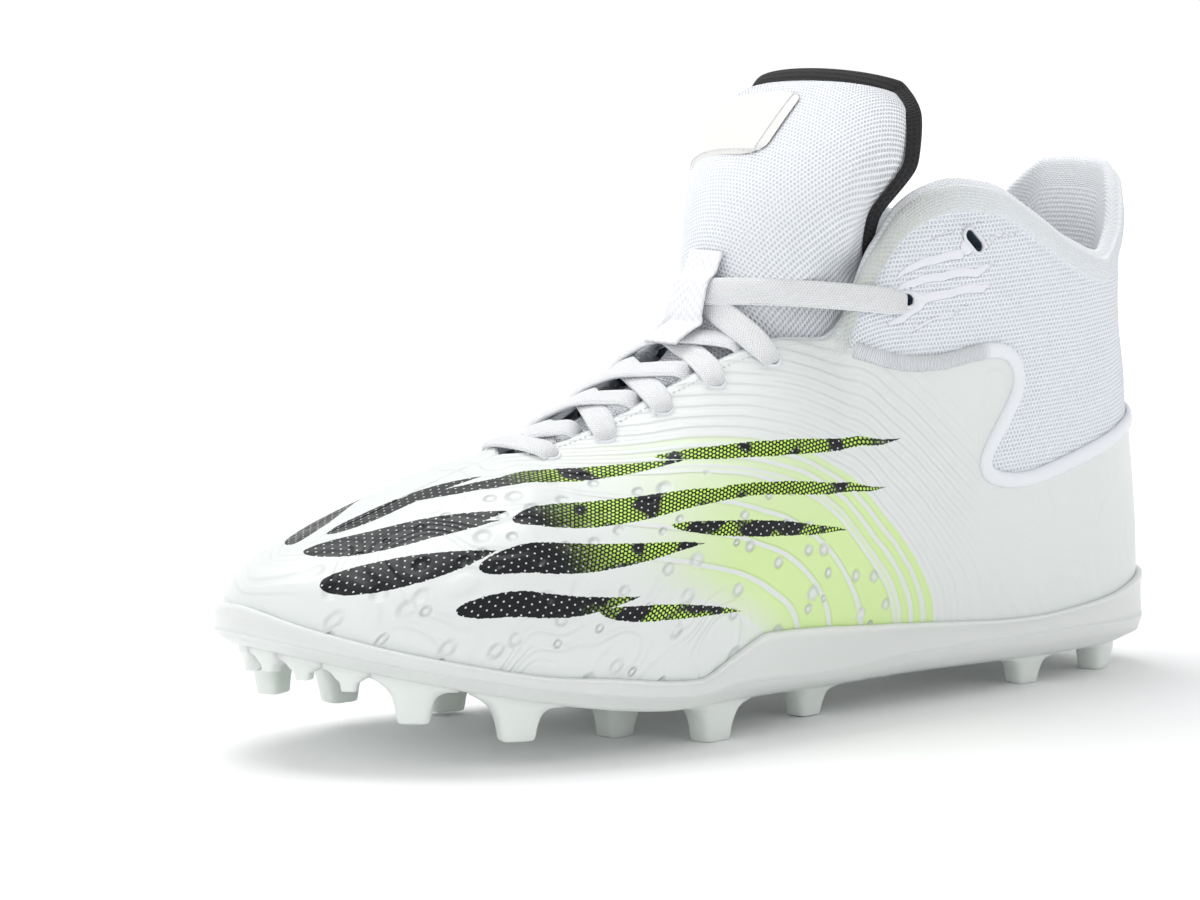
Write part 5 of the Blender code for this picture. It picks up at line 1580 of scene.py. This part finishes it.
def make_lace_looks(trees, material):
    """The laces: flat woven bands through the eyelets and under the throat's edges."""
    places = {name: (at, from_edge * FOOT_LENGTH) for name, at, from_edge, _ in EYELETS}
    section = oval(LACE_WIDTH * 1.06, LACE_THICKNESS * 1.25, 16, 0.7)

    def eyelet(name, side):
        """The far side of an eyelet and its direction away from the foot."""
        at, from_edge = places[name]
        s, v = eyelet_place(at, from_edge + LACE_PAST, side)
        return outer_face(s, v), face_normal(s, v)

    def past(stop, before):
        """An end moved on so that the band dips into the hole."""
        spot, normal = stop
        ahead = spot - before
        ahead -= normal * (ahead @ normal)
        return spot + ahead / np.linalg.norm(ahead) * LACE_PAST, normal

    def lay(stops, over, dips):
        """Adds a band over what lies beneath, and returns its search tree."""
        path, side, out = draped_path(over, stops, 34, 0.0002 + LACE_THICKNESS / 2, dips)
        run = run_along(path)
        for dip, distance in zip(dips, (run, run[-1] - run)):
            if dip == EYELET_DIP:
                side = side * (1 - 0.38 * smooth(1 - distance / 0.011))[:, None]
        points, quads, values = sweep(path, side, out, section)
        start = sum(len(v) for v in vertices)
        vertices.append(points)
        faces.extend([[start + i for i in quad] for quad in quads])
        weave.append(values)
        return BVHTree.FromPolygons([Vector(p) for p in points], quads)

    vertices, faces, weave = [], [], []
    outer, inner = eyelet("0", 1), eyelet("0", -1)
    lay([past(outer, inner[0]), past(inner, outer[0])], trees, (EYELET_DIP, EYELET_DIP))
    over = list(trees)
    inset = LACE_WIDTH * 0.30
    for k in range(4):
        for side in (1, -1):
            far = throat_point(places[str(k + 1)][0] + LACE_STOP * 0.75, -side, inset)
            if k:
                over.append(lay([past(eyelet(str(k), side), far[0]), far], over, (EYELET_DIP, EDGE_DIP)))
            else:
                under_bar = throat_point(places["0"][0] - 0.006, side, inset)
                over.append(lay([under_bar, far], over, (0.0, EDGE_DIP)))
    hub = tongue_face(KEEPER_ROW, 0.0)
    for side in (1, -1):
        stops = [past(eyelet("4", side), hub[0]), hub, past(eyelet("5", -side), hub[0])]
        over.append(lay(stops, over, (EYELET_DIP, EYELET_DIP)))
    piece = make_object("laces", shift(np.concatenate(vertices)), faces, material,
                        attributes={"weave": np.concatenate(weave)})
    return piece, over


def make_keeper_look(over, material):
    """The webbing loop on the tongue, with its ribs."""
    rows = np.linspace(KEEPER_SPAN[0] - 0.9, KEEPER_SPAN[1] + 0.25, 60)
    point, normal = tongue_face(rows, np.zeros_like(rows))
    lift = np.full(len(rows), 0.0002)
    for k in range(len(rows)):
        for off in np.linspace(-0.5, 0.5, 7):
            origin = point[k] + normal[k] * 0.03 + np.array([0, off * KEEPER_WIDTH, 0])
            hit = first_hit(over, origin, -normal[k], 0.04)
            if hit is not None:
                lift[k] = max(lift[k], 0.03 - hit)
    lift = taut_line(lift) * 0.5 + lift * 0.5
    for _ in range(4):
        lift[1:-1] = np.maximum(lift[1:-1], 0.5 * (lift[2:] + lift[:-2]))
    path = point + normal * (lift + KEEPER_THICKNESS * 0.6)[:, None]
    across = np.broadcast_to(np.array([0, 1.0, 0]), path.shape)
    section = oval(KEEPER_WIDTH, KEEPER_THICKNESS * 0.9, 20, 0.35)
    vertices, faces, weave = sweep(path, across, normal, section)
    return make_object("keeper", shift(vertices), faces, material, attributes={"weave": weave})


def make_seam_look(material):
    """The raised seam with its closely set cross ribs."""
    turn, height = seam_route(900)
    s = turn % 2.0
    v = level_at_height(s, height)
    point, normal = outer_face(s, v), face_normal(s, v)
    run = np.gradient(point, axis=0)
    across = np.cross(normal, run)
    across /= np.linalg.norm(across, axis=-1, keepdims=True)
    section = [(-1.0, -0.4), (-0.92, 0.35), (-0.7, 0.8), (-0.35, 1.0), (0.0, 1.06), (0.35, 1.0),
               (0.7, 0.8), (0.92, 0.35), (1.0, -0.4)]
    section = [(a * SEAM_WIDTH * 0.42, b * SEAM_HEIGHT * 0.85 + 0.0002) for a, b in section]
    vertices, faces, weave = sweep(point, across, normal, section)
    weave[:, 2] = smooth((vertices[:, 0] - 0.078) / 0.006) * smooth((vertices[:, 2] - 0.085) / 0.004)
    return make_object("seam_cord", shift(vertices), faces, material, attributes={"weave": weave})


def make_stitches(material):
    """Short threads in rows inside the throat's edge and along two edges of the label."""
    runs = []
    at = np.linspace(0.545, 0.765, 60)
    for side in (1, -1):
        s = at if side > 0 else 2 - at
        v = 1 - 0.0026 / column_length(s)
        runs.append((outer_face(s, v), face_normal(s, v)))
    top, bottom, edge, inner = LABEL_PLACE
    t = np.linspace(0, 1, 26)
    inset = 0.05
    for rows, shares in ((np.full(26, bottom + inset * 1.5), edge + (inner - edge) * t),
                         (bottom + (top - bottom) * t, np.full(26, inner - inset))):
        point, normal = tongue_face(rows, shares)
        runs.append((point + normal * (LABEL_THICKNESS + 0.0004), normal))
    vertices, faces = [], []
    rings, corners = 5, 6
    for point, normal in runs:
        for k in range(len(point) - 1):
            a, b = point[k], point[k + 1]
            step = b - a
            long = np.linalg.norm(step)
            if long < 1e-6:
                continue
            step /= long
            side = np.cross(normal[k], step)
            start = len(vertices)
            for r in range(rings):
                share = r / (rings - 1)
                bulge = math.sin(math.pi * (0.08 + 0.84 * share))
                centre = a + step * long * (0.14 + 0.72 * share) + normal[k] * (0.00022 * bulge - 0.00008)
                for q in range(corners):
                    angle = 2 * math.pi * q / corners
                    vertices.append(centre + (side * math.cos(angle) + normal[k] * math.sin(angle))
                                    * THREAD_RADIUS * bulge)
            faces += ring_faces(start, rings, corners)
    return make_object("stitches", shift(vertices), faces, material)


def make_label_look(material):
    """The bare patch on the tongue."""
    top, bottom, edge, inner = LABEL_PLACE
    r, c = np.meshgrid(np.linspace(0, 1, 40), np.linspace(0, 1, 40), indexing="ij")
    border = np.minimum(np.minimum(r, 1 - r) * 20, np.minimum(c, 1 - c) * 20)
    corner = 0.18
    deep_r = np.clip((np.abs(r - 0.5) - 0.5 + corner) / corner, 0, 1)
    deep_c = np.clip((np.abs(c - 0.5) - 0.5 + corner) / corner, 0, 1)
    r = r + np.sign(r - 0.5) * corner * deep_r * (np.sqrt(1 - deep_c ** 2 / 2) - 1)
    c = c + np.sign(c - 0.5) * corner * deep_c * (np.sqrt(1 - deep_r ** 2 / 2) - 1)
    point, normal = tongue_face(bottom + r * (top - bottom), edge + c * (inner - edge))
    height = 0.0003 + LABEL_THICKNESS * smooth(border)
    front = point + normal * height[..., None]
    return make_object("label", shift(front).reshape(-1, 3), grid_faces(40, 40), material)


def make_insole_look(material):
    """The footbed, dished at the heel."""
    side, s = stations(90, 30)
    count, half = len(s), len(side)
    foot = outer_face(s, np.zeros_like(s))
    nx, ny = plan_normal(s)
    out = np.stack([nx, ny, np.zeros_like(nx)], -1)
    clear = SHELL_WALL + 3 * GAP
    rest = 2 * GAP
    edge = foot - out * clear
    edge[:, 2] = floor_z(foot[:, 0]) + rest + INSOLE_THICKNESS * 0.3
    high = foot - out * (clear + INSOLE_THICKNESS * 0.25)
    high[:, 2] = floor_z(foot[:, 0]) + rest + INSOLE_THICKNESS
    vertices, faces = list(edge) + list(high), grid_faces(2, count, wrap=True).tolist()

    def dish(x, share):
        """Height of the footbed, lower towards the middle."""
        return float(floor_z(x)) + rest + INSOLE_THICKNESS * (1 - 0.25 * math.sin(share * math.pi / 2))

    fill_inwards(vertices, faces, count, count, half, 8, dish)
    piece = make_object("footbed", shift(vertices), faces, material)
    tidy_normals(piece)
    return piece


# Camera, light and floor
def set_stage():
    """The photo's camera, a white ground and soft light."""
    azimuth, lift = math.radians(CAMERA_TURN), math.radians(CAMERA_RISE)
    back = Vector((math.sin(azimuth) * math.cos(lift), -math.cos(azimuth) * math.cos(lift),
                   math.sin(lift)))
    right = Vector((math.cos(azimuth), math.sin(azimuth), 0))
    up = back.cross(right)
    target = Vector(CAMERA_CENTRE) + right * CAMERA_SIDE + up * CAMERA_UP + Vector(ORIGIN_SHIFT)
    data = bpy.data.cameras.new("camera")
    data.sensor_width = 36.0
    data.lens = CAMERA_LENS
    data.clip_start, data.clip_end = 0.05, 30.0
    camera = bpy.data.objects.new("camera", data)
    camera.location = target + back * CAMERA_DISTANCE
    camera.rotation_euler = back.to_track_quat("Z", "Y").to_euler()
    bpy.context.scene.collection.objects.link(camera)
    bpy.context.scene.camera = camera

    def area(name, spot, aim, size, power):
        """A soft rectangle of light, aimed at a point."""
        light = bpy.data.lights.new(name, "AREA")
        light.shape = "RECTANGLE"
        light.size, light.size_y = size
        light.energy = power
        lamp = bpy.data.objects.new(name, light)
        lamp.location = spot
        lamp.rotation_euler = (Vector(spot) - Vector(aim)).to_track_quat("Z", "Y").to_euler()
        bpy.context.scene.collection.objects.link(lamp)

    area("top_light", (0.05, -0.45, 1.20), (0, 0, 0.05), (0.8, 0.8), TOP_POWER)
    area("side_light", (1.3, 0.1, 0.75), (0, 0, 0.05), (0.8, 0.8), SIDE_POWER)
    area("heel_light", (-1.1, 0.75, 0.65), (0, 0, 0.06), (0.6, 0.7), HEEL_POWER)

    world = bpy.data.worlds.new("white")
    world.use_nodes = True
    tree = world.node_tree
    spot = tree.nodes.new("ShaderNodeTexCoord")
    split = tree.nodes.new("ShaderNodeSeparateXYZ")
    share = tree.nodes.new("ShaderNodeMapRange")
    tree.links.new(spot.outputs["Generated"], split.inputs[0])
    tree.links.new(split.outputs["Z"], share.inputs[0])
    share.inputs[1].default_value, share.inputs[2].default_value = 0.20, 0.45
    share.inputs[3].default_value, share.inputs[4].default_value = WORLD_LOW_POWER, WORLD_POWER
    tree.links.new(share.outputs[0], tree.nodes["Background"].inputs[1])
    tree.nodes["Background"].inputs[0].default_value = (1.0, 1.0, 1.0, 1)
    bpy.context.scene.world = world

    floor = Shader("ground")
    reach = floor.tree.nodes.new("ShaderNodeVectorMath")
    reach.operation = "LENGTH"
    floor.tree.links.new(floor.place(), reach.inputs[0])
    glow = floor.mul(floor.ramp(reach.outputs["Value"], 0.30, 1.10), FLOOR_GLOW)
    floor.set(Base_Color=GROUND_WHITE, Roughness=0.9, Emission_Color=(1, 1, 1),
              Emission_Strength=glow)
    turns = 2 * math.pi * np.arange(24) / 24
    vertices = np.stack([6 * np.cos(turns), 6 * np.sin(turns), 0 * turns], -1)
    ground = make_object("ground", vertices, [list(range(24))], floor.material, smooth=False)
    scene = bpy.context.scene
    scene.view_settings.view_transform = "Standard"
    scene.view_settings.look = "None"
    scene.view_settings.exposure = 0.0


def main():
    """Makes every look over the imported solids, and the stage."""
    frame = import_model()
    nodes = frame["nodes"]
    upper_tree, tongue_tree = tree_of(nodes["upper"]), tree_of(nodes["tongue"])

    shell = shell_material()
    lining = fabric_material("lining", LINING_WHITE, LINING_HOLE_SHADE, 1.3, 0.24, height=0.00012)
    cover = fabric_material("tongue_mesh", COVER_WHITE, COVER_HOLE_SHADE, 1.25, 0.28, height=0.0003)
    black = fabric_material("black_knit", KNIT_BLACK, KNIT_HOLE_SHADE, 1.1, 0.30, roughness=0.75)
    plate = plain_material("plate", PLATE_COLOUR, 0.36, 0.00003, 700.0, Subsurface_Weight=0.35,
                           Subsurface_Radius=(0.010, 0.012, 0.010), Subsurface_Scale=0.6,
                           Coat_Weight=0.1, Coat_Roughness=0.3)
    lace = braid_material("lace", LACE_WHITE, 7.5, 11.0)
    webbing = braid_material("webbing", WEBBING_WHITE, 2.2, 5.5)
    cord = cord_material("seam_thread", CORD_WHITE)
    patch = plain_material("patch", PATCH_WHITE, 0.55, 0.00004, 1500.0)
    thread = plain_material("thread", THREAD_WHITE, 0.7)
    rim = rim_material("rim", RIM_WHITE, RIM_HOLE_SHADE)
    bed = plain_material("bed", BED_GREY, 0.9, 0.0002, 500.0)

    outer, inside = make_shell_look(shell, lining)
    rings = make_eyelet_rings(rim)
    laces, over = make_lace_looks([upper_tree, tongue_tree], lace)
    pieces = {
        "upper": [outer, inside, rings],
        "outsole": [make_plate_look(plate), make_stud_looks(plate)],
        "tongue": list(make_tongue_look(upper_tree, cover, black)),
        "insole": [make_insole_look(bed)],
        "tongue_label": [make_label_look(patch)],
        "lace_keeper": [make_keeper_look(over, webbing)],
        "ankle_seam": [make_seam_look(cord)],
        "laces": [laces],
        "stitches": [make_stitches(thread)],
    }
    for name, group in pieces.items():
        for piece in group:
            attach(piece, "root")
    for name in ("outsole", "insole", "tongue_label", "lace_keeper", "ankle_seam", "upper", "tongue"):
        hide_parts(name)
    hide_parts("lace_bar", "lace_cross_1", "lace_cross_2", "lace_cross_3", "lace_top")
    for name, slot in SLOTS.items():
        for piece in pieces[name]:
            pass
    set_stage()


main()
